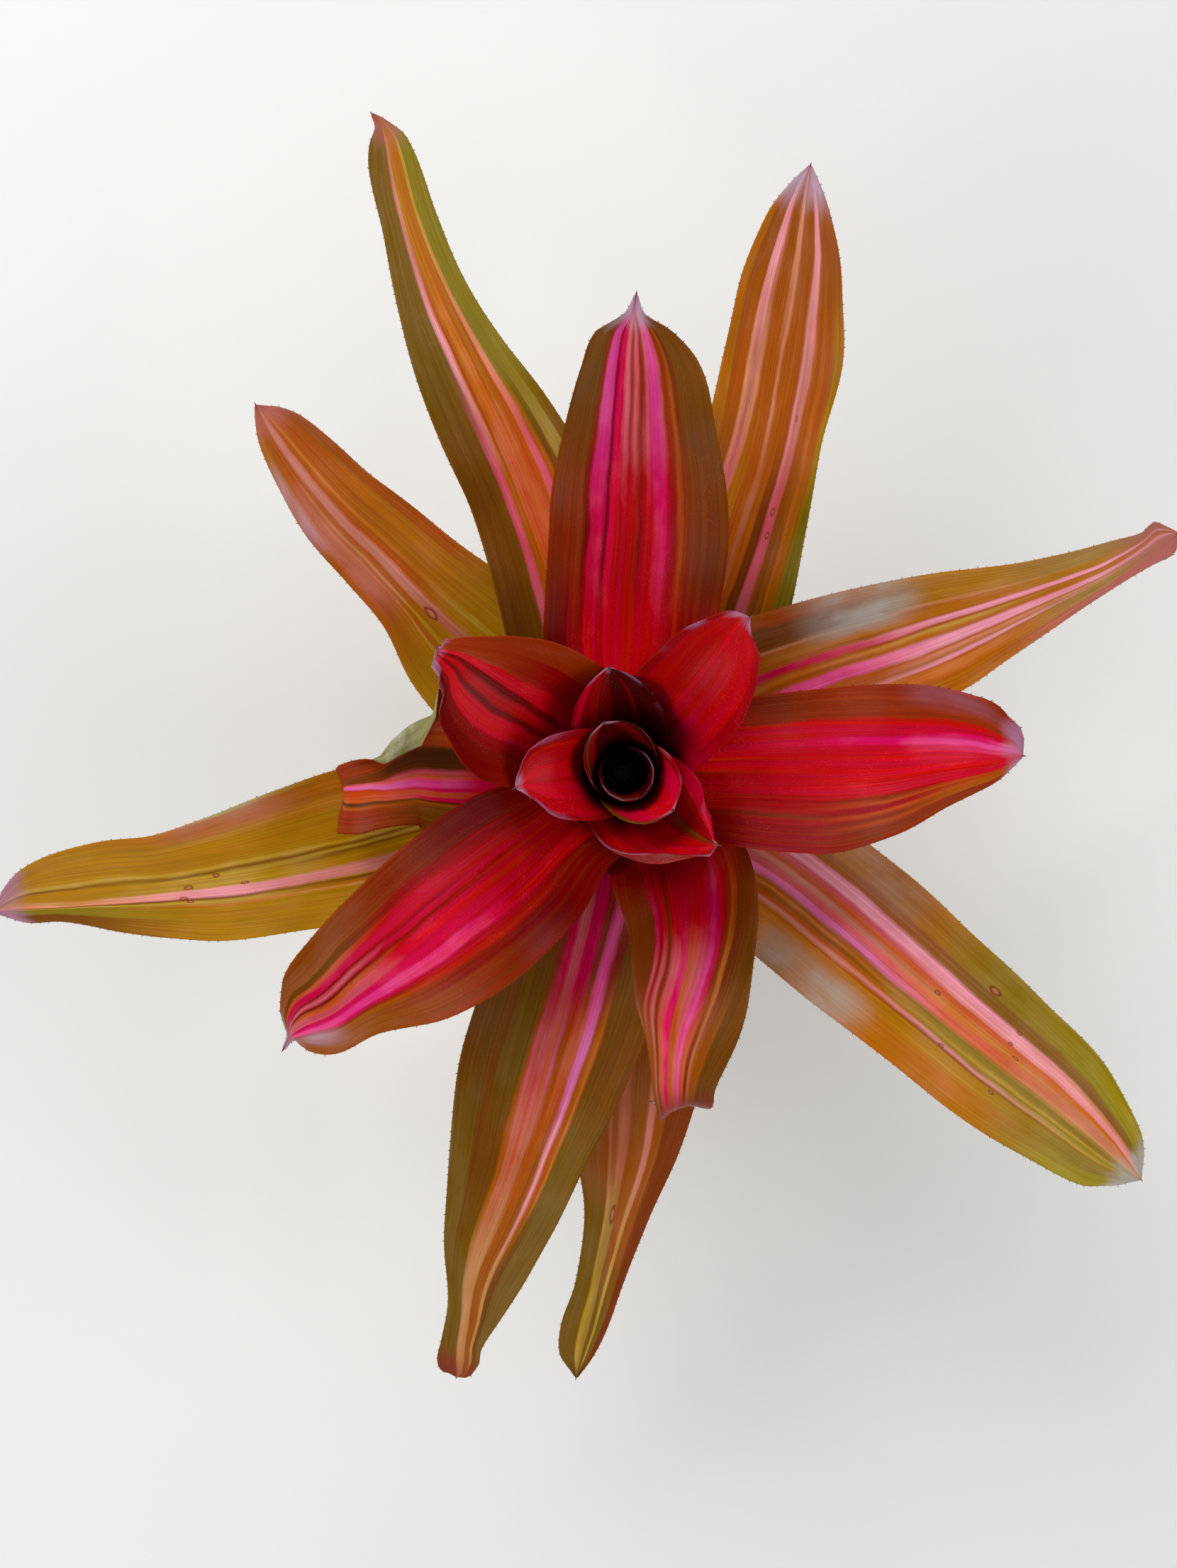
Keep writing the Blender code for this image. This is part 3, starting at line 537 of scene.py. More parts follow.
def middle_surface(leaf, wave_height):
    """Points on a leaf's middle surface, row by row, and how far along the midrib each row is."""
    surface, travels = [], []
    travel, last = 0.0, None
    for values, heading in midrib_rows(leaf_stations(leaf)):
        reach, side, height, left, right, trough, turn_left, turn_right, tipped = values
        across = Vector((0.0, 1.0, 0.0))
        across = (across - across.dot(heading) * heading).normalized()
        inward = (heading.cross(across) * tipped - Vector((1.0, 0.0, 0.0)) * (1.0 - tipped)).normalized()
        centre = Vector((reach, side, height))
        travel += (centre - last).length if last else 0.0
        last = centre
        left, right = max(left, NARROWEST_HALF), max(right, NARROWEST_HALF)
        trough = max(trough, TIGHTEST_TROUGH)
        phase = 2.0 * math.pi * travel / WAVE_LENGTH + leaf["rank"]
        wave = wave_height * tipped * min(left / WAVE_FULL_WIDTH, right / WAVE_FULL_WIDTH, 1.0)
        lefts = half_blade(left, trough, turn_left, wave * math.sin(phase))
        rights = half_blade(right, trough, turn_right, wave * math.cos(phase))
        row = [centre - across * s + inward * up for s, up in reversed(rights)]
        row += [centre] + [centre + across * s + inward * up for s, up in lefts]
        surface.append(row)
        travels.append(travel)
    return surface, travels


def square_to(surface, row, column):
    """Direction square to a leaf's surface at one of its points, on the upper side."""
    along = surface[min(row + 1, len(surface) - 1)][column] - surface[max(row - 1, 0)][column]
    points = surface[row]
    across = points[min(column + 1, len(points) - 1)] - points[max(column - 1, 0)]
    return along.cross(across).normalized()


def in_place(point, leaf):
    """A leaf's own point in millimetres, turned to where the leaf grows and given in metres."""
    turn = math.radians(leaf["turn"])
    along = point.x * math.cos(turn) - point.y * math.sin(turn)
    across = point.x * math.sin(turn) + point.y * math.cos(turn)
    return Vector((along, across, point.z)) * 0.001


def sway_at(leaf, share):
    """How far the stripes have swung sideways at a share of the leaf's length, on a smooth curve."""
    marks = leaf.get("sway", [(0.0, 0.0), (1.0, 0.0)])
    last = len(marks) - 1
    part = next(index for index in range(last) if share <= marks[index + 1][0] or index == last - 1)
    slopes = []
    for index in (part, part + 1):
        before, after = marks[max(index - 1, 0)], marks[min(index + 1, last)]
        slopes.append((after[1] - before[1]) / (after[0] - before[0]))
    (start, low), (end, high) = marks[part], marks[part + 1]
    run = end - start
    terms = (low, slopes[0] * run, high, slopes[1] * run)
    return sum(weight * term for weight, term in zip(curve_weights((share - start) / run), terms))


def grow_leaf(leaf, wave_height, finishes):
    """One leaf as a closed blade, thinner at its rounded margins, with faint ridges along it."""
    surface, travels = middle_surface(leaf, wave_height)
    columns = 2 * ACROSS_HALF
    body = bmesh.new()
    chart = body.loops.layers.uv.new("leaf_chart")
    upper, under, margins = [], [], []
    for row, points in enumerate(surface):
        upper_row, under_row = [], []
        for column, point in enumerate(points):
            square = square_to(surface, row, column)
            share = abs(column - ACROSS_HALF) / ACROSS_HALF
            half = (BLADE_MIDDLE + (BLADE_MARGIN - BLADE_MIDDLE) * share ** 3) / 2.0
            ridge = noise.noise(Vector((
                column * RIDGE_ACROSS, travels[row] * RIDGE_ALONG, leaf["rank"] * RIDGE_SHIFT)))
            ridge *= RIDGE_HEIGHT * (1.0 - share ** 4)
            upper_row.append(body.verts.new(in_place(point + square * (ridge + half), leaf)))
            under_row.append(body.verts.new(in_place(point + square * (ridge - half), leaf)))
        edges = []
        for column, neighbour in ((0, 1), (columns, columns - 1)):
            out = (points[column] - points[neighbour]).normalized() * BLADE_MARGIN / 2.0
            edges.append(body.verts.new(in_place(points[column] + out, leaf)))
        upper.append(upper_row)
        under.append(under_row)
        margins.append(edges)

    def skin(corners, places, slot):
        face = body.faces.new(corners)
        face.material_index = slot
        for loop, (column, row) in zip(face.loops, places):
            share = travels[row] / travels[-1]
            loop[chart].uv = (column / columns - sway_at(leaf, share), share)

    last = len(surface) - 1
    for row in range(last):
        after = row + 1
        for column in range(columns):
            beside = column + 1
            skin((upper[row][column], upper[after][column], upper[after][beside], upper[row][beside]),
                 ((column, row), (column, after), (beside, after), (beside, row)), 0)
            skin((under[row][column], under[row][beside], under[after][beside], under[after][column]),
                 ((column, row), (beside, row), (beside, after), (column, after)), 1)
        for end, column in ((0, 0), (1, columns)):
            for face in (upper, under):
                skin((face[row][column], face[after][column], margins[after][end], margins[row][end]),
                     ((column, row), (column, after), (column, after), (column, row)), 0)
    for row in (0, last):
        for column in range(columns):
            beside = column + 1
            skin((upper[row][column], upper[row][beside], under[row][beside], under[row][column]),
                 ((column, row), (beside, row), (beside, row), (column, row)), 0)
        for end, column in ((0, 0), (1, columns)):
            skin((upper[row][column], under[row][column], margins[row][end]), ((column, row),) * 3, 0)
    bmesh.ops.recalc_face_normals(body, faces=body.faces)
    mesh = bpy.data.meshes.new(leaf["name"] + "_blade")
    body.to_mesh(mesh)
    body.free()
    shade_round(mesh, 50)
    for finish in finishes:
        mesh.materials.append(finish)
    piece = bpy.data.objects.new(mesh.name, mesh)
    bpy.context.scene.collection.objects.link(piece)
    return piece, surface, travels


def banded(tree, across, along, zones):
    """Stripes along a leaf: a zone lists where each paint starts across it, at its place along it."""
    colour, last = None, 0.0
    for place, stripes in zones:
        bands = [stripe.split(" ", 1) for stripe in stripes.split(", ")]
        stops = [(0.0, PAINTS[bands[0][1]])]
        for (_, before), (start, name) in zip(bands, bands[1:]):
            stops += [(float(start) - STRIPE_SOFTNESS, PAINTS[before]),
                      (float(start) + STRIPE_SOFTNESS, PAINTS[name])]
        run = colour_run(tree, across, stops)
        if colour is None:
            colour = run
        else:
            colour = mixed(tree, fade(tree, along, last, place), colour, run)
        last = place
    return colour


def leaf_chart(tree, seed):
    """A leaf's chart, the shares across and along it, and the chart shifted by a seed for its grain."""
    chart = wire(tree, "UVMap", uv_map="leaf_chart").outputs[0]
    shares = wire(tree, "SeparateXYZ", {0: chart}).outputs
    shifted = wire(tree, "Mapping", {"Vector": chart, "Location": (seed, seed, 0.0)}).outputs[0]
    return chart, shares[0], shares[1], shifted


def product(tree, first, *others):
    """Values multiplied together."""
    for other in others:
        first = arithmetic(tree, "MULTIPLY", first, other)
    return first


def leaf_skin(leaf, length, width):
    """The upper skin: striped, streaked along its veins, mottled, specked with scale, with its marks and
    with painted sheen.
    """
    material, tree, shader, place = new_finish(leaf["name"] + "_skin")
    chart, breadth, along, shifted = leaf_chart(tree, leaf["rank"] * 3.7)
    waver = grain(tree, shifted, 1.0, 2.0, (5.0, 9.0, 1.0))
    across = arithmetic(tree, "ADD", breadth, fade(tree, waver, 0.25, 0.75, -0.009, 0.009))
    colour = banded(tree, across, along, leaf["zones"])
    if "flush" in leaf:
        flush_paint, flush = leaf["flush"]
        colour = mixed(tree, flush, colour, paint(PAINTS[flush_paint]))

    veins = grain(tree, shifted, 1.0, 3.0, (width * 1.1, length * 0.012, 1.0))
    lines = grain(tree, shifted, 1.0, 2.0, (width * 0.42, length * 0.006, 1.0))
    blotch = grain(tree, shifted, 1.0, 4.0, (width * 0.09, length * 0.05, 1.0))
    streak, light = leaf.get("streak", 0.16), leaf.get("light", 1.0)
    colour = wire(tree, "HueSaturation", {
        "Hue": fade(tree, lines, 0.30, 0.70, 0.5 - streak * 0.03, 0.5 + streak * 0.03),
        "Saturation": fade(tree, blotch, 0.30, 0.70, 1.08, 1.00),
        "Value": product(tree, fade(tree, veins, 0.32, 0.68, 1.0 - streak, 1.0 + streak * 0.7),
                         fade(tree, blotch, 0.30, 0.70, 0.93 * light, 1.07 * light)),
        "Color": colour}).outputs[0]

    # The tip tint is partly the tip's own colour and partly painted sheen, weaker in the middle of the tip
    # than at its sides.
    tip_and_sheen_paint, tip_start, tip_full = leaf["tip"]
    ragged = arithmetic(tree, "ADD", along, fade(tree, blotch, 0.30, 0.70, -0.012, 0.012))
    off_centre = arithmetic(tree, "ABSOLUTE", arithmetic(tree, "SUBTRACT", breadth, 0.5))
    tip_tint_and_sheen = product(tree, fade(tree, ragged, tip_start, tip_full, 0.0, 0.85),
                    fade(tree, off_centre, 0.05, 0.24, leaf.get("tip_middle", 0.5), 1.0))
    colour = mixed(tree, tip_tint_and_sheen, colour, paint(PAINTS[tip_and_sheen_paint]))
    # The rim is a painted lavender highlight, in patches along the upper margins towards the tip.
    if "rim" in leaf:
        rim_start, rim_strength = leaf["rim"]
        highlight_patches = grain(tree, shifted, 1.0, 1.0, (2.5, length * 0.09, 1.0))
        rim = product(tree, fade(tree, off_centre, 0.38, 0.495, 0.0, rim_strength),
                      fade(tree, ragged, rim_start, rim_start + 0.14), fade(tree, highlight_patches, 0.48, 0.60))
        colour = mixed(tree, rim, colour, paint(PAINTS["lavender"]))
    # Each bloom patch is partly real grey scurf and partly painted sheen.
    for start, end, low, high, strength, bloom_and_sheen_paint in leaf.get("bloom_and_sheen", []):
        scurf_and_sheen = product(
            tree, fade(tree, along, start - 0.05, start + 0.03), fade(tree, along, end + 0.05, end - 0.03),
            fade(tree, across, low - 0.08, low + 0.05), fade(tree, across, high + 0.08, high - 0.05),
            fade(tree, blotch, 0.30, 0.60, 0.45 * strength, strength))
        colour = mixed(tree, scurf_and_sheen, colour, paint(PAINTS[bloom_and_sheen_paint]))
    for side, deep, size in leaf.get("scars", []):
        scale = (width / size, length / (size * 1.5), 1.0)
        spot = wire(tree, "Mapping", {"Vector": chart, "Scale": scale,
                                      "Location": (-side * scale[0], -deep * scale[1], 0.0)}).outputs[0]
        distance = wire(tree, "VectorMath", {0: spot}, operation="LENGTH").outputs[1]
        distance = arithmetic(tree, "ADD", distance, fade(tree, veins, 0.2, 0.8, -0.15, 0.15))
        for edge, core, strength, scar_paint in ((1.05, 0.80, 0.70, "maroon"), (0.62, 0.40, 0.60, "salmon")):
            ring = fade(tree, distance, edge, core, 0.0, strength)
            colour = mixed(tree, ring, colour, paint(PAINTS[scar_paint]))

    stretch = (width * 1.15, length * 0.95, 1.0)
    cells = wire(tree, "Mapping", {"Vector": shifted, "Scale": stretch}).outputs[0]
    scale_dots = wire(tree, "TexVoronoi", {"Vector": cells, "Scale": 1.0}).outputs[0]
    specks = product(tree, fade(tree, scale_dots, 0.26, 0.10), fade(tree, blotch, 0.42, 0.62, 0.02, 0.08))
    colour = mixed(tree, specks, colour, paint(PAINTS["silver"]))
    tree.links.new(colour, shader.inputs["Base Color"])

    gloss = leaf.get("gloss", 0.34)
    tree.links.new(fade(tree, blotch, 0.30, 0.70, gloss, gloss + 0.14), shader.inputs["Roughness"])
    shader.inputs["Specular IOR Level"].default_value = 0.10
    ribs = relief(tree, shader, veins, 0.00035, 0.55)
    relief(tree, shader, grain(tree, place, 1500.0, 2.0), 0.00008, 0.40, ribs)
    return material


def leaf_back(leaf, length, width):
    """The under skin: pale green, with grey scale in bands across it and a ghost of the stripes."""
    material, tree, shader, place = new_finish(leaf["name"] + "_back")
    _, across, along, shifted = leaf_chart(tree, leaf["rank"] * 2.3)
    ghost = banded(tree, across, along, leaf["zones"])
    veins = grain(tree, shifted, 1.0, 3.0, (width * 0.8, length * 0.012, 1.0))
    blotch = grain(tree, shifted, 1.0, 4.0, (width * 0.08, length * 0.04, 1.0))
    green = colour_run(tree, veins, [(0.32, "6f7a3c"), (0.52, "8f9a56"), (0.70, "b2b87a")])
    strength = leaf.get("ghost", 0.25)
    colour = mixed(tree, fade(tree, blotch, 0.30, 0.75, strength, strength + 0.25), green, ghost)
    cross = grain(tree, shifted, 1.0, 2.0, (2.0, length * 0.16, 1.0))
    scurf = leaf.get("scurf", 0.62)
    grey = product(tree, fade(tree, cross, 0.46, 0.60, scurf * 0.15, scurf),
                   fade(tree, grain(tree, place, 1100.0, 3.0), 0.35, 0.60, 0.4, 1.0))
    colour = mixed(tree, grey, colour, paint("b9b8a4"))
    tree.links.new(colour, shader.inputs["Base Color"])
    shader.inputs["Roughness"].default_value = 0.62
    shader.inputs["Specular IOR Level"].default_value = 0.20
    ribs = relief(tree, shader, veins, 0.0004, 0.6)
    relief(tree, shader, grain(tree, place, 1300.0, 3.0), 0.00012, 0.5, ribs)
    return material


thorn, tree, shader, place = new_finish("margin_thorns")
thorn_tone = colour_run(tree, grain(tree, place, 700.0), [
    (0.35, "3a0d0a"), (0.55, "6a1f12"), (0.75, "8a4a24")])
tree.links.new(thorn_tone, shader.inputs["Base Color"])
shader.inputs["Roughness"].default_value = 0.4
relief(tree, shader, grain(tree, place, 2500.0), 0.00005)


def thorn_tree():
    """A tree that sets small cones at a spacing along margin lines, leaning out and towards the tip."""
    tree, add, given = growth_tree("margin_thorns", "Margins", {
        "Spacing": 0.0034, "Length": 0.0007, "Thickness": 0.00018,
        "Smallest": 0.55, "Largest": 1.15, "Seed": 3}, "Thorns")
    line = add("GeometryNodeMeshToCurve", {"Mesh": given["Margins"]}).outputs[0]
    steps = {"Curve": line, "Length": given["Spacing"]}
    line = add("GeometryNodeResampleCurve", steps, mode="LENGTH").outputs[0]
    lean = add("GeometryNodeInputNamedAttribute", {"Name": "lean"}, data_type="FLOAT_VECTOR").outputs[0]
    aim = add("FunctionNodeAlignRotationToVector", {"Vector": lean}, axis="Z").outputs[0]
    cone = add("GeometryNodeMeshCone", {
        "Vertices": 6, "Radius Top": 0.00002, "Radius Bottom": given["Thickness"],
        "Depth": given["Length"]}).outputs[0]
    set_at_points(add, line, cone, aim, sized_at_random(add, given), thorn)
    return tree


thorns_on_margins = thorn_tree()


def margin_lines(name, grown):
    """The edges of some leaves as bare lines, each point of which holds the way that a thorn leans."""
    points, edges, leans = [], [], []
    for leaf, surface, travels in grown:
        bare = leaf.get("thorns_from", THORNS_FROM) * travels[-1]
        for column, neighbour in ((0, 1), (-1, -2)):
            first = True
            for row in range(1, len(surface) - 2):
                if travels[row] < bare:
                    continue
                out = (surface[row][column] - surface[row][neighbour]).normalized()
                ahead = (surface[row + 1][column] - surface[row][column]).normalized()
                points.append(in_place(surface[row][column] + out * BLADE_MARGIN * THORN_DEPTH, leaf))
                leans.append(in_place(out + ahead * THORN_RAKE, leaf).normalized())
                if not first:
                    edges.append((len(points) - 2, len(points) - 1))
                first = False
    mesh = bpy.data.meshes.new(name)
    mesh.from_pydata([tuple(point) for point in points], edges, [])
    lean = mesh.attributes.new("lean", "FLOAT_VECTOR", "POINT")
    lean.data.foreach_set("vector", [value for vector in leans for value in vector])
    piece = bpy.data.objects.new(name, mesh)
    bpy.context.scene.collection.objects.link(piece)
    return piece


def add_tip_spines(piece, grown):
    """A stout little spine on the tip of each leaf, in the same mesh as the thorns of its edge."""
    piece.data.materials.clear()
    piece.data.materials.append(thorn)
    body = bmesh.new()
    body.from_mesh(piece.data)
    for leaf, surface, _ in grown:
        tip = in_place(surface[-1][ACROSS_HALF], leaf)
        heading = tip - in_place(surface[-3][ACROSS_HALF], leaf)
        aim = heading.to_track_quat("Z", "Y").to_matrix().to_4x4()
        aim.translation = tip + heading.normalized() * SPINE_AHEAD
        bmesh.ops.create_cone(body, cap_ends=True, segments=8, radius1=SPINE_FOOT, radius2=SPINE_POINT,
                              depth=SPINE_LENGTH, matrix=aim)
    for face in body.faces:
        face.material_index = 0
    body.to_mesh(piece.data)
    body.free()


def grow_tier(tier, leaves, slot, wave_height, seed, **shared):
    """Grow the leaves of one tier over their nodes, with what they share, and set thorns on their edges."""
    grown = []
    for leaf in leaves:
        leaf = {**shared, **leaf}
        stations = leaf["stations"]
        blade = math.fsum(math.dist(a[:3], b[:3]) for a, b in zip(stations, stations[1:]))
        length = SHEATH_LENGTH + blade
        width = max(station[3] + station[4] for station in stations)
        finishes = (leaf_skin(leaf, length, width), leaf_back(leaf, length, width))
        piece, surface, travels = grow_leaf(leaf, wave_height, finishes)
        grown.append((leaf, surface, travels))
        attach(piece, "root")
        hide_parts(leaf["name"])
    lines = margin_lines(tier + "_margins", grown)
    thorns = grown_by(thorns_on_margins, tier + "_thorns", lines, {"Seed": seed})
    bpy.data.objects.remove(lines, do_unlink=True)
    add_tip_spines(thorns, grown)
    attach(thorns, "root")


grow_tier("rolled_leaves", [
    dict(name="tube_leaf_inner", rank=0, turn=300, wrap=164, thorns_from=0.8, stations=[
        (7.6, 0, 180, 21, 21, 7.6), (8, 0, 200, 20, 20, 8), (8.7, 0, 208, 14, 14, 8.6),
        (9.2, 0, 212, 6, 6, 9), (9.4, 0, 213, 0.8, 0.8, 9)],
        tip=("dark maroon", 0.985, 1),
        zones=[(0, "0 maroon, .1 dark red, .18 umber, .2 deep olive, .26 maroon, .5 dark maroon")]),
    dict(name="tube_leaf_outer", rank=1, turn=115, wrap=130, thorns_from=0.7, stations=[
        (9.4, 0, 180, 21, 21, 9.4), (10.6, 0, 200, 20, 20, 10.6), (12.8, 0, 209, 16.5, 16.5, 11.6),
        (15.3, 0, 214, 9, 9, 13), (16.8, 0, 216, 0.8, 0.8, 14)],
        tip=("mauve", 0.985, 1),
        zones=[(0, "0 dark maroon, .15 maroon, .3 dark maroon, .68 dark red, .8 maroon, .85 dark olive, "
                   ".89 maroon")]),
    dict(name="cup_leaf_lower_right", rank=2, turn=320, wrap=105, thorns_from=0.6, stations=[
        (11.2, 0, 182, 19, 19, 11.2), (13, 0, 205, 19, 19, 12.4), (15.8, 0, 215, 16, 16, 13.4),
        (18, 0, 220, 9.5, 9.5, 13), (18.8, 0, 222, 0.8, 0.8, 13)],
        tip=("mauve", 0.985, 1),
        zones=[(0, "0 brown, .08 crimson, .3 red, .62 crimson, .86 dark red")]),
    dict(name="cup_leaf_left", rank=3, turn=185, wrap=95, thorns_from=0.6, stations=[
        (12.8, 0, 182, 18, 18, 12.8), (16, 0, 206, 18, 18, 15), (22, 0, 217, 16, 16.5, 17),
        (28, 0, 222, 11.5, 12.5, 16), (32, 1, 224, 4.5, 5, 10), (34.5, 2, 225, 0.5, 0.5, 6)],
        tip=("mauve", 0.97, 0.995),
        zones=[(0, "0 dark red, .12 blood, .35 red, .5 blood, .54 red, .72 blood, .93 dark red")]),
    # The dark maroon bands of this leaf are partly its own colour and partly painted shade, where it faces
    # down into the cup.
    dict(name="cup_leaf_top", rank=4, turn=100, wrap=90, thorns_from=0.6, stations=[
        (14.4, 0, 180, 20, 20, 14.4), (18.5, 0, 203, 18, 18, 18), (24.5, 0, 214, 14.5, 14.5, 20),
        (29.5, 0, 220, 8, 8, 16), (32.5, 0, 223, 0.8, 0.8, 8)],
        tip=("mauve", 0.985, 1),
        zones=[(0, "0 dark maroon, .3 maroon, .34 dark maroon, .52 maroon, .66 dark red, .86 crimson, "
                   ".96 dark red")]),
    dict(name="cup_leaf_lower", rank=5, turn=303, wrap=90, thorns_from=0.5, stations=[
        (16, 0, 180, 23, 24, 16), (20, 0, 199, 22, 27, 18.5), (26, 2, 209, 17, 24.5, 26, 0, 20),
        (30.5, 6, 216, 10, 19.5, 22, 0, 35), (33, 9, 220, 4, 8, 12, 0, 20), (34.5, 11, 221, 0.5, 0.5, 6)],
        tip=("mauve", 0.985, 1), rim=(0.7, 0.36),
        zones=[(0, "0 dark red, .1 blood, .3 red, .42 blood, .55 red brown, .62 dark olive, "
                   ".65 dark red, .85 crimson")]),
], "young_leaf", 0, 11, ghost=0.95, scurf=0.12, streak=0.08, rim=(0.8, 0.28))


# The two heart leaves stand half open behind the cup. They are the reddest of the plant, with a
# lilac tip that is partly painted sheen and painted lavender highlights along the rims, and their
# margins carry the first small thorns that show from above.
grow_tier("heart_leaves", [
    dict(name="heart_leaf_upper_right", rank=6, turn=50, wrap=85, stations=[
        (18.5, 0, 180, 21, 21, 18.5), (24, 0, 205, 19.5, 19.5, 22), (32, 0, 218, 19.5, 20, 23),
        (40, 0.5, 226, 17.5, 20, 21), (48.5, 1, 231, 15, 14, 17), (54.5, 2, 232, 9, 6, 11),
        (58, 2, 232, 4, 2, 8), (59.5, 1.5, 232, 0.5, 0.5, 6)],
        tip=("mauve", 0.965, 0.995), rim=(0.8, 0.4),
        zones=[(0.54, "0 crimson, .3 cherry, .41 blood, .46 crimson, .55 red, .6 cherry, .68 crimson"),
               (0.74, "0 dark red, .12 blood, .52 red, .56 blood, .9 dark red")]),
    dict(name="heart_leaf_upper_left", rank=7, turn=145, wrap=82, stations=[
        (20.5, 0, 180, 25, 25, 20.5), (28, 0, 204, 26, 26, 27), (37, 0.5, 217, 28.5, 25, 30),
        (47, 1, 226, 32, 21, 30), (55, 1, 231, 28, 14.5, 24), (61, 1, 233, 17.5, 8, 16),
        (65, 2, 234, 11.5, 4.5, 11), (67.3, 3, 234, 5.5, 3.5, 8), (68.3, 2.5, 234, 0.5, 0.5, 6)],
        tip=("mauve", 0.975, 0.998), rim=(0.9, 0.25),
        zones=[(0.48, "0 crimson, .3 red, .38 crimson, .48 blood, .5 crimson, .6 blood, .64 crimson, "
                      ".74 blood"),
               (0.7, "0 russet, .2 dark red, .38 red, .48 maroon, .53 blood, .59 maroon, .63 red, "
                     ".74 dark red, .8 deep red"),
               (0.9, "0 russet, .38 red, .48 maroon, .53 blood, .59 maroon, .63 red, .74 deep red, "
                     ".82 maroon")]),
], "young_leaf", 0, 23, ghost=0.95, scurf=0.12, streak=0.06)


